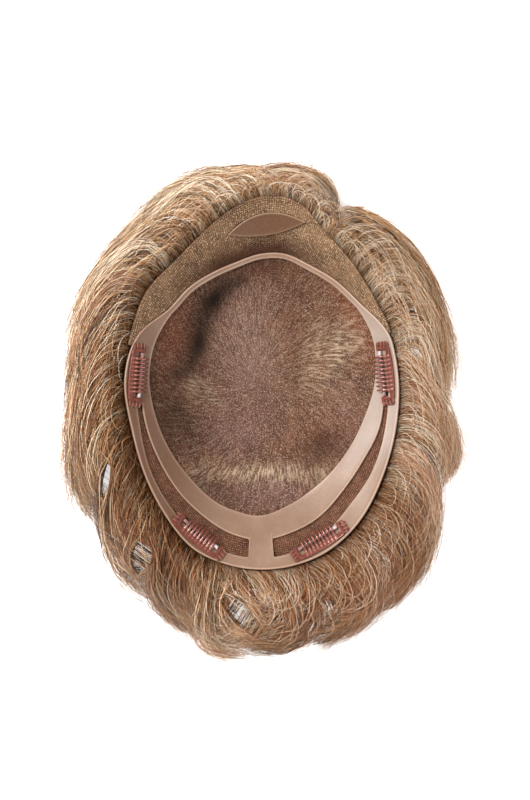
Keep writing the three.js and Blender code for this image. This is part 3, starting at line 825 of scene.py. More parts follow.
def makeFrame():
    # Rows across the film: the outer band, the stretch that the windows cut away, and the inner band.
    # The bead follows the distance to the nearest edge, which past a window's end is the way to its corner.
    ends = np.array([end for span in windowSpans.values() for end in span])
    close = np.degrees(np.concatenate([edgeRows, -edgeRows[1:]]) / bowl["halfWidth"])
    even = np.arange(frameRing["columns"]) * 360 / frameRing["columns"]
    even = even[np.abs(even[:, None] - ends).min(1) > close.max() * 1.3]
    degrees = np.unique(np.round(np.concatenate([even, (ends[:, None] + close).ravel()]), 6))
    start, width = laceEdge(degrees), frameInner(degrees) - laceEdge(degrees)
    first = start + np.minimum(width * 0.38, windowOuter(degrees) - start + 0 * width)
    first = np.where(first - start < 0.3 * width, start + frameRing["rimShare"] * width, first)
    second = np.maximum(np.minimum(windowInner(degrees), start + 0.8 * width), first + 0.25 * width)
    inside = np.zeros(len(degrees), bool)
    along = np.full(len(degrees), 1e3)
    for low, high in windowSpans.values():
        within = (degrees >= low - 1e-6) & (degrees <= high + 1e-6)
        outer, inner = windowEdges(degrees, low, high)
        first, second = np.where(within, outer, first), np.where(within, inner, second)
        past = np.maximum(np.maximum(low - degrees, degrees - high), 0)
        along = np.minimum(along, np.radians(past) * bowl["halfWidth"])
        inside |= within
    outerRows = start + rowsAcross(first - start, frameRing["outerRows"])
    innerRows = second + rowsAcross(start + width - second, frameRing["innerRows"])
    shares = (np.arange(1, frameRing["gapRows"] + 1) / (frameRing["gapRows"] + 1))[:, None]
    gapRows = first + (second - first) * shares
    rows = np.concatenate([outerRows, gapRows, innerRows])
    toWindow = np.maximum(np.maximum(first - rows, rows - second), 0)
    fromEdge = np.minimum(np.minimum(rows - start, start + width - rows), np.hypot(toWindow, along[None]))
    lift = beadHeight(fromEdge)
    plan = planAt(degrees[None], -rows)
    top = bowlPoint(plan, frameRing["top"] + lift)
    bottom = bowlPoint(plan, np.full(rows.shape, frameRing["top"] - frameRing["wall"]))
    beside = np.roll(inside, -1) & inside
    middleOf = (degrees + np.roll(degrees, -1)) / 2
    cut = np.zeros(len(degrees), bool)
    for low, high in windowSpans.values():
        cut |= beside & (middleOf > low) & (middleOf < high)
    kept = np.ones((len(rows) - 1, len(degrees)), bool)
    gapStart = len(outerRows) - 1
    kept[gapStart : gapStart + frameRing["gapRows"] + 1, cut] = False
    points, blocks, used = closeSheet(top, bottom, True, kept)
    # A painted highlight along each edge, fading over edgeFade.
    edge = np.exp(-((fromEdge / frameRing["edgeFade"]) ** 2)).ravel()
    edge = frameRing["edgeHighlight"] * np.concatenate([edge, 0 * edge])[used]
    # The painted shade fades toward the front, and the painted light toward the nape.
    x, y = points[:, 0], points[:, 1]
    leftShade = frameRing["leftShadeMost"] * np.clip((-x - frameRing["leftShadeFrom"]) / frameRing["leftShadeOver"], 0, 1)
    leftShade = leftShade * np.clip(1 - (y + 5) / 70, 0.6, 1)
    rightLight = frameRing["rightLightMost"] * np.clip((x - frameRing["rightLightFrom"]) / frameRing["rightLightOver"], 0, 1)
    rightLight = rightLight * np.clip((y + 42) / 16, 0, 1)
    attributes = {"edge": edge, "leftShade": leftShade, "rightLight": rightLight}
    piece = makePiece("poly_skin", points, blocks, polyMaterial(), "poly", attributes)
    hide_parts("poly_frame")


makeFrame()

# Lens of thin poly on the lace, and the same numbers as the CAD piece.
tab = {
    "length": 38.5,
    "rise": 7.6,
    "sag": 2.8,
    "tilt": 8.7,
    "wall": 0.8,
    "point": 0.08,
    "centreX": 2.8,
    "fromRim": 14.5,
    "columns": 60,
    "rows": 6,
}


def makeTab():
    # Across the lens the width is (rise + sag) times 1 - along squared; its axis is tilted in plan.
    along = np.sin(np.linspace(-1, 1, tab["columns"]) * np.pi / 2)
    bulge = np.maximum(tab["point"], 1 - along**2)
    width = (tab["rise"] + tab["sag"]) * bulge
    rows = rowsAcross(width, tab["rows"])
    cosine, sine = math.cos(math.radians(tab["tilt"])), math.sin(math.radians(tab["tilt"]))
    x = np.broadcast_to(along * tab["length"] / 2, rows.shape)
    y = rows - tab["sag"] * bulge
    plan = np.stack([x * cosine - y * sine, x * sine + y * cosine], axis=-1)
    plan = plan + [tab["centreX"], planAt(90, -tab["fromRim"])[1]]
    tips = (1 - np.abs(along)) * tab["length"] / 2
    edge = np.minimum(np.minimum(rows, width - rows), tips + 0.1)
    top = bowlPoint(plan, bowl["layerGap"] + tab["wall"] + 0.7 * beadHeight(edge))
    bottom = bowlPoint(plan, np.full(rows.shape, bowl["layerGap"] + 0.1))
    points, blocks, used = closeSheet(top, bottom, False)
    # A painted highlight along the lens's edges.
    tone = np.exp(-((edge / 0.5) ** 2)).ravel()
    tone = np.concatenate([tone, 0 * tone])[used]
    attributes = {"edge": 0.6 * tone}
    piece = makePiece("hairline_tab", points, blocks, thinPolyMaterial(), "poly", attributes)
    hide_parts("front_tab")


def thinPolyMaterial():
    # The same film cast thinner on the lace: more beige, because the net below shows through.
    material, tree, shader = newMaterial(
        "thin polyurethane film on lace", Roughness=0.5, Coat_Weight=0.1
    )
    place = addNode(tree, "ShaderNodeTexCoord").outputs["Object"]
    grain = addNode(
        tree, "ShaderNodeTexNoise", {"Scale": perMetre(0.9), "Detail": 3.0}, {"Vector": place}
    ).outputs["Fac"]
    edge = attributeOf(tree, "edge").outputs["Fac"]
    tint = addNode(
        tree, "ShaderNodeValToRGB", links={"Fac": grain}, stops=[(0.35, "#5F3F2A"), (0.65, "#6C4A33")]
    ).outputs["Color"]
    # Painted highlight along the edge.
    tree.links.new(mixed(tree, edge, tint, "#A08468"), shader.inputs["Base Color"])
    bumped(tree, shader, grain, 0.1, 0.4)
    return material


makeTab()
print("base dressed")

# Snap comb clips.
clip = {
    "length": 31.0,
    "depth": 11.0,
    "sheet": 0.75,
    "lift": 0.5,
    "inset": 1.2,
    "bow": 1.6,
    "bar": 3.4,
    "endPlate": 4.2,
    "plateDepth": 9.2,
    "teeth": 9,
    "pitch": 2.05,
    "tooth": 1.15,
    "toothSheet": 0.45,
    "plateSheet": 0.55,
    "barLap": 1.0,
    "oval": (0.52, 0.95, 0.34),  # half-widths and rise of the raised oval at each tooth's root
    "ovalAt": 0.62,
    "bowShare": 0.6,
    "rise": 2.7,
    "root": 0.6,
    "tip": 0.4,
    "kneeAt": 6.9,
    "plateCorner": 1.2,
    "hole": 1.0,
    "holeShares": (0.36, 0.6, 0.84),
    "sleeve": 1.7,
    "sleeveLength": 22.0,
    "sleeveWall": 0.3,
    "middles": {"left": 177.3, "right": 3.4, "back_left": 240.0, "back_right": 297.4},
}


def clipSeat(middle):
    # Lays flat points on the bowl: x along the rim from the clip's middle, y in from its bar, shortened by
    # the slope there, and then lifted off the poly.
    bar = planAt(middle, -clip["inset"])
    along = planAt(middle + 1, -clip["inset"]) - planAt(middle - 1, -clip["inset"])
    along = along / np.linalg.norm(along)
    inward = np.array([-along[1], along[0]])
    climb = clothHeight(bar) - clothHeight(bar + inward * clip["depth"])
    flat = math.cos(math.atan2(float(climb), clip["depth"]))
    base = bowl["layerGap"] + bowl["polyWall"] + clip["lift"]

    def seat(points):
        plan = bar + points[..., :1] * along + points[..., 1:2] * flat * inward
        return bowlPoint(plan, base + points[..., 2])

    return seat


toothPlaces = clip["pitch"] * (np.arange(clip["teeth"]) - (clip["teeth"] - 1) / 2)
innerHalf = clip["length"] / 2 - clip["endPlate"]


def clipBar():
    # The bowed bar: a rounded box section carried along x, with one raised oval at the root of each tooth.
    x = np.linspace(-1, 1, 121) * (innerHalf + clip["barLap"])
    turn = np.linspace(0, 2 * np.pi, 28, endpoint=False)
    bow = clip["bow"] * (x / innerHalf) ** 2 * clip["bowShare"]
    squareY = np.sign(np.cos(turn)) * np.abs(np.cos(turn)) ** 0.35
    squareZ = np.sign(np.sin(turn)) * np.abs(np.sin(turn)) ** 0.35
    y = bow[:, None] + (clip["bar"] - bow[:, None]) * (squareY + 1) / 2
    z = clip["sheet"] * (squareZ + 1) / 2 + 0 * y
    halfWide, halfLong, rise = clip["oval"]
    alongBar = (x[:, None, None] - toothPlaces) / halfWide
    acrossBar = (y[..., None] - clip["bar"] * clip["ovalAt"]) / halfLong
    ovals = np.exp(-(alongBar**2) - acrossBar**2).sum(-1)
    z = z + np.where(squareZ > 0, rise * ovals, 0)
    points = np.stack([x[:, None] + 0 * y, y, z], axis=-1)
    rings, sides = y.shape
    index = np.arange(rings * sides).reshape(rings, sides)
    after = np.roll(index, -1, axis=1)
    quads = np.stack([index[:-1], after[:-1], after[1:], index[1:]], axis=-1).reshape(-1, 4)
    return outward(points.reshape(-1, 3), [quads, index[:1, ::-1], index[-1:]])


def clipPlate():
    # The end plate: a flat outline with three round holes, filled and given rounded edges.
    curve = bpy.data.curves.new("plate", "CURVE")
    curve.dimensions, curve.fill_mode = "2D", "BOTH"
    soft = 0.1
    curve.extrude, curve.bevel_depth, curve.bevel_resolution = clip["plateSheet"] / 2 - soft, soft, 1
    curve.offset = -soft
    r, e, d, b = clip["plateCorner"], clip["endPlate"], clip["plateDepth"], clip["bow"]
    quarter = np.linspace(0, np.pi / 2, 6)
    lower = np.stack([e - r + r * np.sin(quarter), b + r - r * np.cos(quarter)], axis=-1)
    upper = np.stack([e - r + r * np.cos(quarter), d - r + r * np.sin(quarter)], axis=-1)
    turn = np.linspace(0, 2 * np.pi, 16, endpoint=False)
    hole = clip["hole"] / 2 * np.stack([np.cos(turn), np.sin(turn)], axis=-1)
    holes = [hole + [e / 2, d * share] for share in clip["holeShares"]]
    outline = np.concatenate([[[0, b]], lower, upper, [[0, d]]])
    for loop in [outline, *holes]:
        spline = curve.splines.new("POLY")
        spline.points.add(len(loop) - 1)
        spline.points.foreach_set("co", np.column_stack([loop, 0 * loop[:, 0], 0 * loop[:, 0] + 1]).ravel())
        spline.use_cyclic_u = True
    carrier = bpy.data.objects.new("plate", curve)
    mesh = bpy.data.meshes.new_from_object(carrier)
    work = bmesh.new()
    work.from_mesh(mesh)
    bmesh.ops.remove_doubles(work, verts=work.verts, dist=1e-4)
    bmesh.ops.triangulate(work, faces=work.faces)
    bmesh.ops.recalc_face_normals(work, faces=work.faces)
    work.verts.ensure_lookup_table()
    points = np.array([v.co[:] for v in work.verts])
    faces = np.array([[v.index for v in f.verts] for f in work.faces])
    work.free()
    bpy.data.meshes.remove(mesh)
    bpy.data.objects.remove(carrier)
    bpy.data.curves.remove(curve)
    points[:, 2] += clip["sheet"] / 2
    return points, [faces]


def clipTeeth():
    # Each tooth leaves the bar, arches over the sleeve and comes down to a narrow round tip. Its height
    # follows a cubic through bar, knee and tip, and its section is an ellipse that tapers past the knee.
    share = np.linspace(0, 1, 20)
    y = clip["bar"] - clip["root"] + (clip["depth"] - clip["bar"] + clip["root"]) * share
    knee = (clip["kneeAt"] + clip["sleeve"] / 2 - y[0]) / (y[-1] - y[0])
    up = np.clip(share / knee, 0, 1)
    down = np.clip((share - knee) / (1 - knee), 0, 1)
    z = clip["rise"] * (up * (2 - up)) - clip["rise"] * (1 - clip["tip"]) * down**1.6 + clip["sheet"] / 2
    paths = np.stack([np.broadcast_arrays(x, y, z) for x in toothPlaces]).transpose(0, 2, 1)
    roundOff = np.sqrt(np.clip(1 - ((share - 0.9) / 0.1).clip(0, 0.97) ** 2, 0, 1))
    half = clip["tooth"] / 2 * (1 - (1 - clip["tip"]) * down) * roundOff
    thick = (clip["toothSheet"] * 0.62) * roundOff
    return tubes(paths, np.tile(half, (clip["teeth"], 1)), np.tile(thick, (clip["teeth"], 1)), 10)


def clipMaterial():
    # Spring steel with a copper brown baked lacquer: smooth and glossy, with a painted highlight on its
    # raised parts.
    material, tree, shader = newMaterial(
        "copper lacquer on spring steel",
        Metallic=0.25,
        Roughness=0.3,
        Coat_Weight=0.45,
        Coat_Roughness=0.16,
    )
    place = addNode(tree, "ShaderNodeTexCoord").outputs["Object"]
    cloud = addNode(
        tree, "ShaderNodeTexNoise", {"Scale": perMetre(2.2), "Detail": 3.0}, {"Vector": place}
    ).outputs["Fac"]
    height = attributeOf(tree, "height").outputs["Fac"]
    tint = addNode(
        tree, "ShaderNodeValToRGB", links={"Fac": cloud}, stops=[(0.3, "#6C3328"), (0.7, "#834637")]
    ).outputs["Color"]
    # Painted highlight where the part stands up.
    tint = mixed(tree, height, tint, "#B47A6C")
    tree.links.new(tint, shader.inputs["Base Color"])
    peel = addNode(tree, "ShaderNodeTexNoise", {"Scale": perMetre(0.9)}, {"Vector": place}).outputs["Fac"]
    bumped(tree, shader, peel, 0.04, 0.3)
    return material


def sleeveMaterial():
    # Silicone rubber tube gone milky: soft gloss, pale, with light that spreads inside it.
    material, tree, shader = newMaterial(
        "milky silicone rubber", Roughness=0.3, IOR=1.41, Subsurface_Weight=0.4, Subsurface_Scale=0.001
    )
    place = addNode(tree, "ShaderNodeTexCoord").outputs["Object"]
    cloud = addNode(tree, "ShaderNodeTexNoise", {"Scale": perMetre(1.5)}, {"Vector": place}).outputs["Fac"]
    tint = addNode(
        tree, "ShaderNodeValToRGB", links={"Fac": cloud}, stops=[(0.35, "#B7A09F"), (0.65, "#D3C4C5")]
    )
    # Painted shade under the teeth, with the film below showing through the milky rubber.
    covered = attributeOf(tree, "covered").outputs["Fac"]
    tree.links.new(mixed(tree, covered, tint.outputs["Color"], "#8A625A"), shader.inputs["Base Color"])
    return material


def threadMaterial():
    # Spun polyester sewing thread: dark brown down in the holes, paler where it comes over the plate.
    material, tree, shader = newMaterial("polyester sewing thread", Roughness=0.6, Sheen_Weight=0.3)
    place = addNode(tree, "ShaderNodeTexCoord").outputs["Object"]
    ply = addNode(tree, "ShaderNodeTexNoise", {"Scale": perMetre(0.35)}, {"Vector": place}).outputs["Fac"]
    over = attributeOf(tree, "over").outputs["Fac"]
    tint = addNode(
        tree, "ShaderNodeValToRGB", links={"Fac": ply}, stops=[(0.35, "#22120D"), (0.65, "#3A2018")]
    ).outputs["Color"]
    tree.links.new(mixed(tree, over, tint, "#B98D70"), shader.inputs["Base Color"])
    return material


def sleeveShell():
    # A tube of silicone: outer and inner rings at each end, open through, along the clip.
    x = np.linspace(-1, 1, 41) * clip["sleeveLength"] / 2
    turn = np.linspace(0, 2 * np.pi, 16, endpoint=False)
    outer, inner = clip["sleeve"] / 2, clip["sleeve"] / 2 - clip["sleeveWall"]
    ringAt = lambda place, radius: np.stack(
        [place + 0 * turn, clip["kneeAt"] + radius * np.cos(turn), outer + radius * np.sin(turn)], axis=-1
    )
    loops = np.stack([ringAt(p, outer) for p in x] + [ringAt(p, inner) for p in x[::-1]])
    index = np.arange(loops.shape[0] * 16).reshape(-1, 16)
    after, below = np.roll(index, -1, axis=1), np.roll(index, -1, axis=0)
    quads = np.stack([index, after, np.roll(after, -1, axis=0), below], axis=-1).reshape(-1, 4)
    return outward(loops.reshape(-1, 3), [quads])


def stitchLoops():
    # Thread that fills each hole of both end plates, comes up, and goes down over the plate's end: a post
    # that turns into half an ellipse.
    share = np.linspace(0, 1, 12)
    bend = np.clip((share - 0.3) / 0.7, 0, 1) * np.pi
    paths = []
    for side in (-1, 1):
        for place in clip["holeShares"]:
            reach = clip["endPlate"] / 2 + 0.35
            x = innerHalf + clip["endPlate"] / 2 + reach * (1 - np.cos(bend)) / 2
            z = -0.3 + 0.75 * np.clip(share / 0.3, 0, 1) + 0.4 * np.sin(bend)
            z = z - 0.6 * np.clip(share - 0.8, 0, 1)
            y = clip["plateDepth"] * place + 0.3 * np.sin(bend)
            paths.append(np.stack([side * x, y, z], axis=-1))
    paths = np.array(paths)
    radius = np.tile(np.where(share < 0.34, 0.42, 0.12), (len(paths), 1))
    over = np.tile(np.repeat(np.clip((share - 0.4) * 5, 0, 0.75), 6), len(paths))
    return (*tubes(paths, radius, radius, 6), over)


def makeClips():
    lacquer, silicone, thread = clipMaterial(), sleeveMaterial(), threadMaterial()
    plate = clipPlate()
    bar = clipBar()
    teeth = clipTeeth()
    stitches = []
    for place, middle in clip["middles"].items():
        seat = clipSeat(middle)
        shells = [bar, teeth]
        for side in (-1, 1):
            points = plate[0] * [side, 1, 1] + [side * innerHalf, 0, 0]
            shells.append(outward(points, plate[1]))
        flat, blocks = joined(shells)
        # Painted highlight on the raised ovals and the roots of the teeth, taken back toward the tips.
        raisedHighlight = np.clip((flat[:, 2] - clip["sheet"] - 0.05) / 0.3, 0, 1) * (flat[:, 1] < clip["bar"] + 0.2)
        tipped = np.clip((flat[:, 1] - clip["depth"] + 2.2) / 2, 0, 1)
        points, blocks = outward(seat(flat), blocks)
        attributes = {"height": 0.75 * raisedHighlight - 0.3 * tipped}
        piece = makePiece(f"comb_{place}", points, blocks, lacquer, "copper", attributes)
        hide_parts(f"clip_{place}")
        tubePoints, tubeBlocks = sleeveShell()
        # Painted shade under the teeth, with the film showing through, over all but one end of the sleeve.
        covered = np.clip(9.4 - tubePoints[:, 0], 0, 1)
        ready = outward(seat(tubePoints), tubeBlocks)
        tube = makePiece(f"sleeve_{place}", *ready, silicone, "silicone", {"covered": 0.85 * covered})
        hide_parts(f"clip_{place}_sleeve")
        loops, loopBlocks, over = stitchLoops()
        stitches.append((seat(loops), loopBlocks))
    attributes = {"over": np.tile(over, len(stitches))}
    makePiece("clip_stitches", *joined(stitches), thread, "hair", attributes)


makeClips()
print("clips dressed")

# Hair. Each row is one guide line: the angle of its root at the rim, then the angle and
# the distance past the rim of its first bend, its second bend and its tip. A distance is a share of reach.
# Rows of one family blend into each other, and families part from each other.
hair = {
    "reach": 42.0,
    "crestRise": 3.6,
    "strands": 13900,
    "steps": 10,
    "width": 0.32,  # drawn about four times as thick as hair, so that it shows
    "layerShares": {"crest": 0.38, "body": 0.27, "skirt": 0.2, "short": 0.1, "stray": 0.05},
    "curlFrom": 0.72,  # share of a strand at which its end starts to curl
    "curlShrink": 0.1,
    # Directions in degrees, and the millimetres by which the outline stands out further there.
    "spread": (
        (0, 10, 28, 49, 63, 91, 98, 105, 112, 119, 133, 147, 161, 175, 182)
        + (196, 203, 210, 217, 231, 238, 245, 259, 266, 273, 280, 294, 315, 322, 343),
        (0.5, 2.5, 2, 1.5, 2.8, 2, 0, 0, 1.5, 0.5, 4, 6.5, 6, 4, -0.5)
        + (2, 4, 6, 0, 6, 7.5, 3.5, 3.5, 6, 3, 5, 0.5, 2.8, 0, 0.8),
    ),
    # Directions in degrees, and how light the hair is there: its own tone with painted light and shade by
    # side.
    "toneAndLightBySide": (
        (0, 22, 40, 62, 88, 112, 135, 160, 182, 208, 228, 246, 272, 300, 322, 342),
        (0.82, 0.78, 0.7, 0.62, 0.62, 0.5, 0.42, 0.42, 0.3, 0.12, 0.22, 0.38, 0.66, 0.47, 0.52, 0.8),
    ),
    "wispsPerGuide": 4.5,
    "locksPerGuide": 0.55,
    "waveMm": 0.9,
    "waveLength": 40.0,
    "wispPull": 0.34,  # share of the way that a strand's end is drawn to the middle of its wisp
    "lockPull": 0.32,
    "curlScatter": 14.0,  # degrees
    "frizzMm": 0.25,
    "scatterMm": 0.6,
    "floorGap": 0.6,
    "rootInset": 2.0,
}
flow = {
    "front_right": [
        (59, 58, 0.10, 56, 0.14, 54, 0.02),
        (64, 63, 0.18, 59, 0.27, 55, 0.04),
        (71, 70, 0.24, 63, 0.36, 56, 0.08),
        (79, 79, 0.27, 67, 0.43, 57, 0.16),
        (87, 88, 0.29, 72, 0.44, 58, 0.26),
        (96, 95, 0.32, 77, 0.42, 60, 0.38),
    ],
    "front_left": [
        (80, 85, 0.28, 95, 0.44, 106, 0.56),
        (87, 92, 0.30, 102, 0.52, 115, 0.70),
        (94, 101, 0.42, 112, 0.69, 128, 0.68),
        (101, 109, 0.47, 121, 0.74, 138, 0.62),
        (109, 115, 0.42, 127, 0.67, 147, 0.59),
        (118, 122, 0.38, 135, 0.60, 152, 0.62),
        (127, 130, 0.41, 144, 0.53, 160, 0.63),
        (136, 137, 0.40, 152, 0.56, 168, 0.68),
        (145, 147, 0.36, 160, 0.59, 176, 0.70),
        (153, 158, 0.33, 173, 0.55, 187, 0.67),
        (162, 167, 0.34, 182, 0.64, 198, 0.80),
        (170, 175, 0.34, 189, 0.69, 206, 0.89),
        (177, 182, 0.35, 195, 0.72, 211, 0.83),
        (183, 188, 0.36, 199, 0.70, 212, 0.75),
        (188, 192, 0.34, 200, 0.57, 210, 0.64),
        (194, 196, 0.31, 202, 0.51, 209, 0.58),
        (199, 201, 0.30, 206, 0.44, 212, 0.48),
    ],
    "left_low": [
        (189, 202, 0.34, 217, 0.81, 235, 1.01),
        (196, 206, 0.36, 218, 0.79, 235, 0.91),
        (202, 210, 0.37, 220, 0.74, 235, 0.82),
        (208, 214, 0.34, 221, 0.66, 233, 0.69),
        (214, 218, 0.31, 222, 0.61, 233, 0.63),
        (219, 223, 0.30, 227, 0.52, 236, 0.52),
    ],
    "back_left": [
        (211, 223, 0.25, 234, 0.56, 243, 0.82),
        (217, 226, 0.30, 235, 0.64, 247, 0.87),
        (225, 230, 0.34, 238, 0.68, 250, 0.89),
        (233, 235, 0.32, 241, 0.66, 251, 0.87),
        (241, 241, 0.31, 245, 0.65, 253, 0.90),
        (248, 246, 0.31, 248, 0.65, 255, 0.92),
    ],
    "back_curl": [
        (243, 249, 0.34, 250, 0.84, 261, 1.18),
        (247, 251, 0.34, 253, 0.85, 264, 1.13),
        (251, 254, 0.32, 255, 0.80, 267, 1.06),
        (262, 258, 0.19, 257, 0.66, 269, 0.95),
    ],
    "back": [
        (249, 261, 0.21, 274, 0.64, 266, 0.86),
        (263, 274, 0.25, 278, 0.71, 263, 1.02),
        (270, 279, 0.24, 281, 0.79, 259, 1.06),
        (277, 284, 0.28, 283, 0.83, 255, 1.08),
        (290, 290, 0.32, 287, 0.85, 254, 1.12),
    ],
    "back_right": [
        (279, 292, 0.33, 295, 0.80, 285, 1.07),
        (291, 301, 0.42, 299, 0.87, 288, 1.09),
        (298, 305, 0.49, 303, 0.91, 292, 1.11),
        (310, 311, 0.53, 307, 0.92, 297, 1.10),
    ],
    "right_low": [
        (298, 310, 0.48, 310, 0.88, 302, 1.01),
        (313, 319, 0.50, 315, 0.91, 306, 1.02),
        (319, 325, 0.51, 321, 0.90, 311, 1.05),
        (325, 329, 0.52, 325, 0.93, 315, 1.07),
        (331, 335, 0.46, 329, 0.87, 319, 1.06),
        (337, 339, 0.38, 333, 0.79, 323, 0.99),
        (343, 343, 0.32, 337, 0.67, 327, 0.89),
    ],
    "right": [
        (338, 342, 0.31, 340, 0.65, 337, 0.75),
        (345, 348, 0.28, 345, 0.68, 339, 0.80),
        (351, 354, 0.28, 348, 0.70, 340, 0.84),
        (358, 359, 0.28, 351, 0.67, 341, 0.87),
        (364, 363, 0.24, 353, 0.61, 343, 0.89),
        (371, 367, 0.20, 356, 0.51, 346, 0.85),
    ],
    "front_low_right": [
        (366, 370, 0.28, 362, 0.45, 354, 0.56),
        (376, 378, 0.39, 368, 0.54, 355, 0.60),
        (384, 385, 0.46, 374, 0.62, 357, 0.64),
        (392, 392, 0.50, 379, 0.67, 359, 0.66),
        (400, 398, 0.50, 385, 0.71, 363, 0.67),
        (408, 405, 0.48, 391, 0.71, 367, 0.65),
        (414, 412, 0.41, 397, 0.68, 372, 0.61),
        (419, 418, 0.35, 405, 0.61, 379, 0.58),
    ],
}
# How far the tips of each family curl up, in degrees, counterclockwise seen from above.
curls = {
    "front_right": -20.0,
    "front_left": 12.0,
    "left_low": 45.0,
    "back_left": 12.0,
    "back_curl": 35.0,
    "back": -45.0,
    "back_right": -30.0,
    "right_low": -25.0,
    "right": -20.0,
    "front_low_right": -12.0,
}
# A few strands that cross the two large openings, as guide rows and a count.
crossing = [
    ([(250, 251, 0.24, 259, 0.52, 270, 0.64), (254, 256, 0.22, 264, 0.46, 273, 0.55)], 16),
    ([(217, 216, 0.26, 224, 0.50, 234, 0.66), (220, 222, 0.22, 228, 0.46, 236, 0.66)], 9),
]
# Thin openings between wisps, where the floor shows: middle, half length, half width and direction.
gaps = [
    {"place": (-88.6, 31.4), "long": 8.0, "wide": 1.0, "degrees": 66},
    {"place": (-75.0, -46.5), "long": 10.5, "wide": 2.4, "degrees": 80},
    {"place": (-8.6, -112.3), "long": 15.0, "wide": 5.0, "degrees": -46},
    {"place": (-57.6, -83.5), "long": 9.5, "wide": 5.2, "degrees": 72},
    {"place": (-56.3, -97.8), "long": 6.5, "wide": 1.4, "degrees": 15},
    {"place": (25.0, -118.6), "long": 6.5, "wide": 1.3, "degrees": 66},
    {"place": (28.8, -105.1), "long": 5.0, "wide": 0.9, "degrees": 70},
    {"place": (64.8, 71.5), "long": 9.5, "wide": 1.1, "degrees": 140},
]


bendTimes = (0.0, 0.27, 0.62, 1.0)  # how far along a strand its bends lie


def bendWeights(times):
    # How much each of the four bends counts at a time along the strand, for the cubic through all four:
    # the product of (time - other) over (own - other), for the three other bends.
    weights = np.ones((len(times), 4))
    for own in range(4):
        for other in range(4):
            if other != own:
                weights[:, own] *= (times - bendTimes[other]) / (bendTimes[own] - bendTimes[other])
    return weights


def curled(plan, share, turn):
    # Winds up the end of each path: past the share curlFrom its steps are turned further and further, up
    # to turn degrees, and shortened a little.
    steps = np.diff(plan, axis=1)
    late = np.clip((share[1:] - hair["curlFrom"]) / (1 - hair["curlFrom"]), 0, 1)
    angle = np.radians(turn) * late**1.5
    cosine, sine = np.cos(angle), np.sin(angle)
    turned = [steps[..., 0] * cosine - steps[..., 1] * sine, steps[..., 0] * sine + steps[..., 1] * cosine]
    turned = np.stack(turned, axis=-1)
    turned *= (1 - hair["curlShrink"] * late)[..., None]
    return np.concatenate([plan[:, :1], plan[:, :1] + np.cumsum(turned, axis=1)], axis=1)


def openedPaths(plan):
    # Pushes paths out of each gap: across it, a distance d under twice its half-width w becomes
    # w + d / 2, where w follows the ellipse. A path stays on the side on which it passes the middle.
    for gap in gaps:
        turn = math.radians(gap["degrees"])
        axis = np.array([math.cos(turn), math.sin(turn)])
        normal = np.array([-axis[1], axis[0]])
        offset = plan - np.array(gap["place"])
        along, across = offset @ axis, offset @ normal
        nearest = np.argmin(np.hypot(along / gap["long"], across / gap["wide"]), axis=1)
        side = np.sign(np.take_along_axis(across, nearest[:, None], axis=1))
        wide = gap["wide"] * np.sqrt(np.clip(1 - (along / gap["long"]) ** 2, 0, 1))
        distance = np.maximum(across * side, 0)
        pushed = np.where(distance < 2 * wide, wide + distance / 2, distance)
        reach = np.abs(across) < 3 * gap["wide"]
        moved = np.where(reach & (wide > 0), side * pushed - across, 0)
        plan = plan + moved[..., None] * normal
    return plan


def guidePaths(rows, place, reachScale, skirt, weights):
    # Plan paths: place is the strand's place among its family's guide lines at each step, so that it may
    # close up with its neighbours toward the tip. Angles and shares are read off the guides there, a short
    # strand's turn about the base is scaled down with its reach so that arcs nest, the shares are drawn
    # toward the hair's outline by skirt, and the four bends are joined by their weights.
    table = np.array(rows, float)
    at = np.arange(len(table))
    columns = [np.interp(place, at, table[:, k]) for k in range(7)]
    plan = 0
    for k, (angle, share) in enumerate(((0, None), (1, 2), (3, 4), (5, 6))):
        degrees = columns[0] + (columns[angle] - columns[0]) * np.minimum(reachScale, 1) ** 0.8
        out = 0 * degrees if share is None else columns[share] * reachScale
        spread = np.interp(degrees % 360, *hair["spread"], period=360)
        out = out * (1 + spread / hair["reach"] / columnAt("spill", degrees))
        if share is not None:
            out = out + skirt * (columnAt("spill", degrees) * (0.86, 0.96, 1.0)[k - 1] - out)
        inset = hair["rootInset"] if share is None else 0
        plan = plan + weights[:, k, None] * planAt(degrees, out * hair["reach"] - inset)
    return plan, columns[0]


# Levels run from the lowest hair, 0, to the highest, 1. A strand's bends lie at its guides' distances
# times its reach, and skirt draws it to the outline of the hair. Stray is how far it drifts sideways,
# and turn how far it is turned about its root, in degrees, both for a usual strand.
layers = {
    "crest": {
        "level": (0.72, 1.0), "reach": (0.5, 1.03), "skirt": (0, 0.05),
        "stray": 0.9, "turn": 2.5, "width": 1.0,
    },
    "body": {
        "level": (0.4, 0.78), "reach": (0.66, 1.05), "skirt": (0, 0.1),
        "stray": 0.9, "turn": 3.0, "width": 1.0,
    },
    "skirt": {
        "level": (0.02, 0.42), "reach": (0.93, 1.05), "skirt": (0, 0.2),
        "stray": 0.6, "turn": 2.0, "width": 1.0,
    },
    "short": {
        "level": (0.8, 1.05), "reach": (0.12, 0.6), "skirt": (0, 0),
        "stray": 1.2, "turn": 13.0, "width": 0.7,
    },
    "stray": {
        "level": (0.5, 1.1), "reach": (0.8, 1.2), "skirt": (0, 0.4),
        "stray": 3.0, "turn": 7.0, "width": 0.55,
    },
}
# The top and the bottom of the hair as shares of the rim's height, at shares of the way out to its outline.
outShares = (0.0, 0.3, 0.6, 0.85, 1.0, 1.15)
highLevels = (0.995, 1.03, 0.95, 0.74, 0.44, 0.3)
lowLevels = (0.84, 0.5, 0.26, 0.1, 0.03, 0.02)


def turnedAbout(plan, degrees):
    # Each path turned about its first point.
    cosine, sine = np.cos(np.radians(degrees))[:, None], np.sin(np.radians(degrees))[:, None]
    away = plan - plan[:, :1]
    x, y = away[..., 0], away[..., 1]
    return plan[:, :1] + np.stack([x * cosine - y * sine, x * sine + y * cosine], axis=-1)


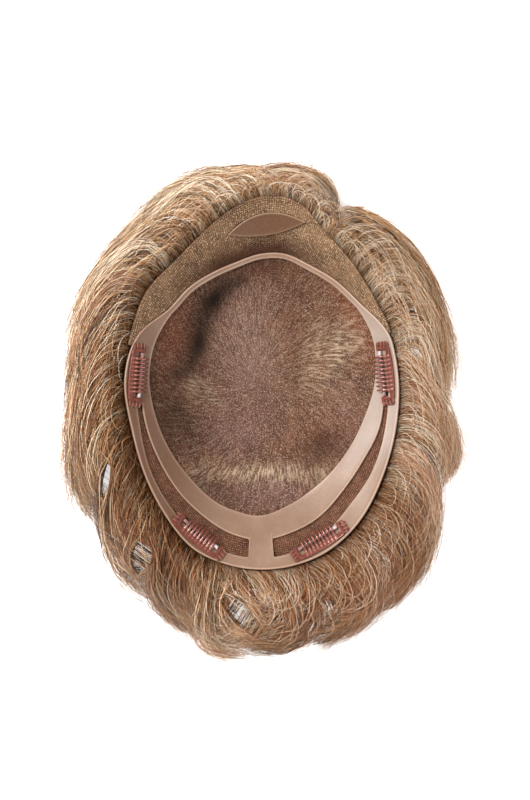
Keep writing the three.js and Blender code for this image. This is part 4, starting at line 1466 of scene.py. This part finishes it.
def strandSet(rng, rows, curl, layerName, count, opened=True):
    # One family's strands in one layer: paths and the numbers that its colour reads. Strands that are not
    # opened cross the gaps.
    layer = layers[layerName]
    steps = hair["steps"]
    share = np.linspace(0, 1, steps)
    span = len(rows) - 1
    root = (np.arange(count) + rng.random(count)) / count * span
    wispAt = root * hair["wispsPerGuide"] + rng.random()
    wisp = np.floor(wispAt).astype(int)
    lockAt = root * hair["locksPerGuide"] + rng.random()
    lock = np.floor(lockAt).astype(int)
    wisps, locks = wisp.max() + 1, lock.max() + 1
    wispMiddle = root - (wispAt - wisp - 0.5 - 0.5 * (rng.random(wisps)[wisp] - 0.5)) / hair["wispsPerGuide"]
    lockMiddle = root - (lockAt - lock - 0.5) / hair["locksPerGuide"]
    toWisp = hair["wispPull"] * share**1.5
    toLock = hair["lockPull"] * share**2.4
    place = root[:, None] * (1 - toWisp - toLock) + wispMiddle[:, None] * toWisp
    place = np.clip(place + lockMiddle[:, None] * toLock, 0, span)
    low, high = layer["reach"]
    reach = low + (high - low) * (0.55 * rng.random(count) + 0.45 * rng.random(wisps)[wisp])
    low, high = layer["skirt"]
    skirt = low + (high - low) * (0.4 * rng.random(count) + 0.6 * rng.random(wisps)[wisp])
    plan, roots = guidePaths(rows, place, reach[:, None], skirt[:, None], bendWeights(share))
    plan = curled(plan, share, curl + hair["curlScatter"] * rng.normal(size=count)[:, None])
    plan = turnedAbout(plan, layer["turn"] * rng.normal(size=count))
    along = np.gradient(plan, axis=1)
    along /= np.linalg.norm(along, axis=-1, keepdims=True)
    side = np.stack([along[..., 1], -along[..., 0]], axis=-1)
    length = np.linalg.norm(np.diff(plan, axis=1), axis=-1).sum(1)
    cycles = 2 * np.pi * length[:, None] * share / hair["waveLength"]
    wave = hair["waveMm"] * np.sin(cycles + 2 * np.pi * rng.random(locks)[lock][:, None]) * share
    frizz = hair["frizzMm"] * np.sin(2.3 * cycles + 2 * np.pi * rng.random(count)[:, None]) * share
    drift = layer["stray"] * rng.normal(size=count)[:, None] * share**1.5
    scatter = hair["scatterMm"] * rng.normal(size=count)[:, None]
    plan = plan + side * (wave + frizz + drift + scatter)[..., None]
    if opened:
        plan = openedPaths(plan)
    degrees, inwardShare = placeOn(plan)
    rim = planAt(degrees, 0)
    rimHeight = clothHeight(rim)
    beyond = np.hypot(plan[..., 0], plan[..., 1]) - np.hypot(rim[..., 0], rim[..., 1])
    out = np.clip(beyond / (hair["reach"] * columnAt("spill", degrees)), 0, 1.15)
    low, high = layer["level"]
    level = low + (high - low) * (0.65 * rng.random(count) + 0.35 * rng.random(wisps)[wisp])
    level = level[:, None]
    lowest, highest = (np.interp(out, outShares, levels) for levels in (lowLevels, highLevels))
    shares = lowest * (1 - level) + highest * level
    height = rimHeight * shares + hair["crestRise"] * level * np.sin(np.pi * np.minimum(out * 1.5, 1))
    height += (rng.normal(size=count) * 0.8)[:, None] * (0.3 + share)
    beneath = clothHeight(plan) - 0.9 - 0.8 * rng.random(count)[:, None]
    underRim = inwardShare < 1 + 0.4 / bowl["halfWidth"]
    height = np.where(underRim, np.minimum(height, beneath), height)
    height = np.maximum(height, hair["floorGap"] + 0.5 * rng.random(count)[:, None])
    around = np.radians(roots[:, 0])
    # Tone by side: partly the hair's own colour, partly painted light on the right and painted shade on the
    # left.
    sideTone = np.interp(roots[:, 0] % 360, *hair["toneAndLightBySide"], period=360)
    tone = sideTone + 0.19 * rng.normal(size=wisps)[wisp]
    tone = np.clip(tone + 0.33 * rng.normal(size=count), 0, 1)
    hue = 0.6 * rng.random(count) + 0.4 * rng.random(locks)[lock]
    hue = np.clip(hue + 0.08 * np.cos(around) - 0.12 * np.sin(around), 0, 1)
    widths = np.full(count, hair["width"] * layer["width"]) * (0.75 + 0.5 * rng.random(count))
    return np.concatenate([plan, height[..., None]], axis=-1), roots[:, 0], tone, hue, widths


def strandMaterial():
    # Human hair: translucent keratin with a lengthways gloss, light brown with golden and copper strands,
    # darker at its roots, partly its own colour and partly painted shade. The colours run with the strand's
    # tone, partly painted light and shade by side, its hue and its place along it.
    material, tree, shader = newMaterial(
        "light brown human hair", Roughness=0.32, IOR=1.55, Specular_IOR_Level=0.6, Coat_Weight=0.08,
        Coat_Roughness=0.22, Specular_Tint=toLinear("#FFDDB8"),
    )
    tone = attributeOf(tree, "tone").outputs["Fac"]
    hue = attributeOf(tree, "hue").outputs["Fac"]
    along = attributeOf(tree, "along").outputs["Fac"]
    base = addNode(
        tree,
        "ShaderNodeValToRGB",
        links={"Fac": tone},
        stops=[(0.0, "#2E180A"), (0.25, "#704526"), (0.5, "#AE7A4C"), (0.72, "#E3BC8E"), (1.0, "#FFF1D8")],
    ).outputs["Color"]
    copper = addNode(tree, "ShaderNodeValToRGB", links={"Fac": hue}, stops=[(0.45, 0.0), (0.85, 0.5)])
    tinted = mixed(tree, copper.outputs["Color"], base, "#BE6B42")
    shade = attributeOf(tree, "rootShade").outputs["Fac"]
    rooted = mixed(tree, shade, tinted, "#47290F")
    tipLight = addNode(tree, "ShaderNodeValToRGB", links={"Fac": along}, stops=[(0.55, 0.0), (1.0, 0.1)])
    tipped = mixed(tree, tipLight.outputs["Color"], rooted, "#E9D2AE")
    tree.links.new(tipped, shader.inputs["Base Color"])
    return material


def makeStrands():
    rng = np.random.default_rng(11)
    arcs = {name: (rows[-1][0] - rows[0][0]) for name, rows in flow.items()}
    whole = sum(arcs.values())
    sets = []
    for name, rows in flow.items():
        for layerName, portion in hair["layerShares"].items():
            count = max(8, round(hair["strands"] * portion * arcs[name] / whole))
            sets.append(strandSet(rng, rows, curls[name], layerName, count))
    for rows, count in crossing:
        sets.append(strandSet(rng, rows, 0.0, "crest", count, False))
    paths, roots, tone, hue, widths = (np.concatenate(part) for part in zip(*sets))
    order = np.argsort(np.mod(roots - 45, 360))
    # Painted shade at the roots, strongest on the left and at the back, away from the light, over the hair's
    # own darker roots.
    rootDark = 0.66 - 0.1 * np.cos(np.radians(roots)) - 0.2 * np.sin(np.radians(roots))
    share = np.linspace(0, 1, hair["steps"])
    taper = (0.7 + 0.3 * np.sin(np.pi * np.clip(share * 1.3, 0, 1))) * (1 - 0.5 * share**4)
    material = strandMaterial()
    for name, part in zip(("front", "left", "back", "right"), np.array_split(order, 4)):
        radius = widths[part, None] / 2 * taper
        points, blocks = tubes(paths[part], radius, radius, 3)
        perPoint = lambda values: np.repeat(values[part], hair["steps"] * 3)
        along = np.tile(np.repeat(share, 3), len(part))
        rootShade = perPoint(rootDark) * np.clip(1 - along / 0.42, 0, 1) ** 1.3
        attributes = {"tone": perPoint(tone), "hue": perPoint(hue), "along": along, "rootShade": rootShade}
        makePiece(f"strands_{name}", points, blocks, material, "hair", attributes)


def denseMaterial():
    # The same hair packed close: the eye gets dark combed streaks, because little light comes back out.
    material, tree, shader = newMaterial("dense hair", Roughness=0.6, Specular_IOR_Level=0.3)
    comb = attributeOf(tree, "comb").outputs["Vector"]
    streaks = addNode(
        tree, "ShaderNodeTexNoise", {"Scale": 1.0, "Detail": 4.0, "Roughness": 0.7}, {"Vector": comb}
    ).outputs["Fac"]
    tint = addNode(
        tree,
        "ShaderNodeValToRGB",
        links={"Fac": streaks},
        stops=[(0.3, "#2B1B13"), (0.5, "#563A25"), (0.62, "#7E5A3B"), (0.75, "#A68058")],
    ).outputs["Color"]
    tree.links.new(tint, shader.inputs["Base Color"])
    bumped(tree, shader, streaks, 0.5, 0.7)
    return material


# outShare is of the spill, because strands fill the rest. Side holds shares of the way out and of the
# rim's height.
under = {
    "columns": 180,
    "outShare": 0.26,
    "footShare": 0.86,
    "side": ((0.45, 0.04), (0.75, 0.14), (1.0, 0.28), (0.96, 0.42), (0.8, 0.56), (0.5, 0.74), (0.15, 0.84)),
}


def denseShell():
    # A dish of hair that hugs the base: its section runs from the middle of the floor out to the foot,
    # up its bulging side, over past the rim, and back in under the cloth to the crown.
    degrees = np.arange(under["columns"]) * 360 / under["columns"]
    spill = hair["reach"] * columnAt("spill", degrees) * under["outShare"]
    top = clothHeight(planAt(degrees, 0))
    foot = planAt(degrees, 0) * under["footShare"]
    rings = [np.column_stack([foot * share, 0 * top]) for share in (0.04, 0.3, 0.6, 0.85, 1.0)]
    for out, height in under["side"]:
        rings.append(np.column_stack([planAt(degrees, spill * out), top * height]))
    rings.append(np.column_stack([planAt(degrees, -3.0), top * 0.85]))
    lift = -bowl["clothWall"] - 3.2
    for share in (0.92, 0.86, 0.8, 0.72, 0.64, 0.56, 0.48, 0.36, 0.22, 0.04):
        rings.append(bowlPoint(planAt(degrees, 0) * share, np.full(len(degrees), lift)))
    loops = np.stack(rings)
    count, wide = loops.shape[:2]
    index = np.arange(count * wide).reshape(count, wide)
    after = np.roll(index, -1, axis=1)
    quads = np.stack([index[:-1], after[:-1], after[1:], index[1:]], axis=-1).reshape(-1, 4)
    ends = np.array([[0, 0, 0], [0, 0, bowl["crownRise"] + lift]])
    points = np.concatenate([loops.reshape(-1, 3), ends])
    fans = [
        np.stack([np.full(wide, count * wide), after[0], index[0]], axis=-1),
        np.stack([np.full(wide, count * wide + 1), index[-1], after[-1]], axis=-1),
    ]
    points, blocks = outward(points, [quads, *fans])
    angle = np.arctan2(points[:, 1], points[:, 0])
    reach = np.hypot(points[:, 0], points[:, 1])
    comb = np.stack([np.cos(angle) * 60, np.sin(angle) * 60, (reach + points[:, 2]) / 12], axis=-1)
    return points, blocks, comb


def makeUnder():
    points, blocks, comb = denseShell()
    piece = makePiece("dense_hair", points, blocks, denseMaterial(), "hair", {"comb": comb})
    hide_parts("hair")


makeUnder()
makeStrands()
print("hair grown")
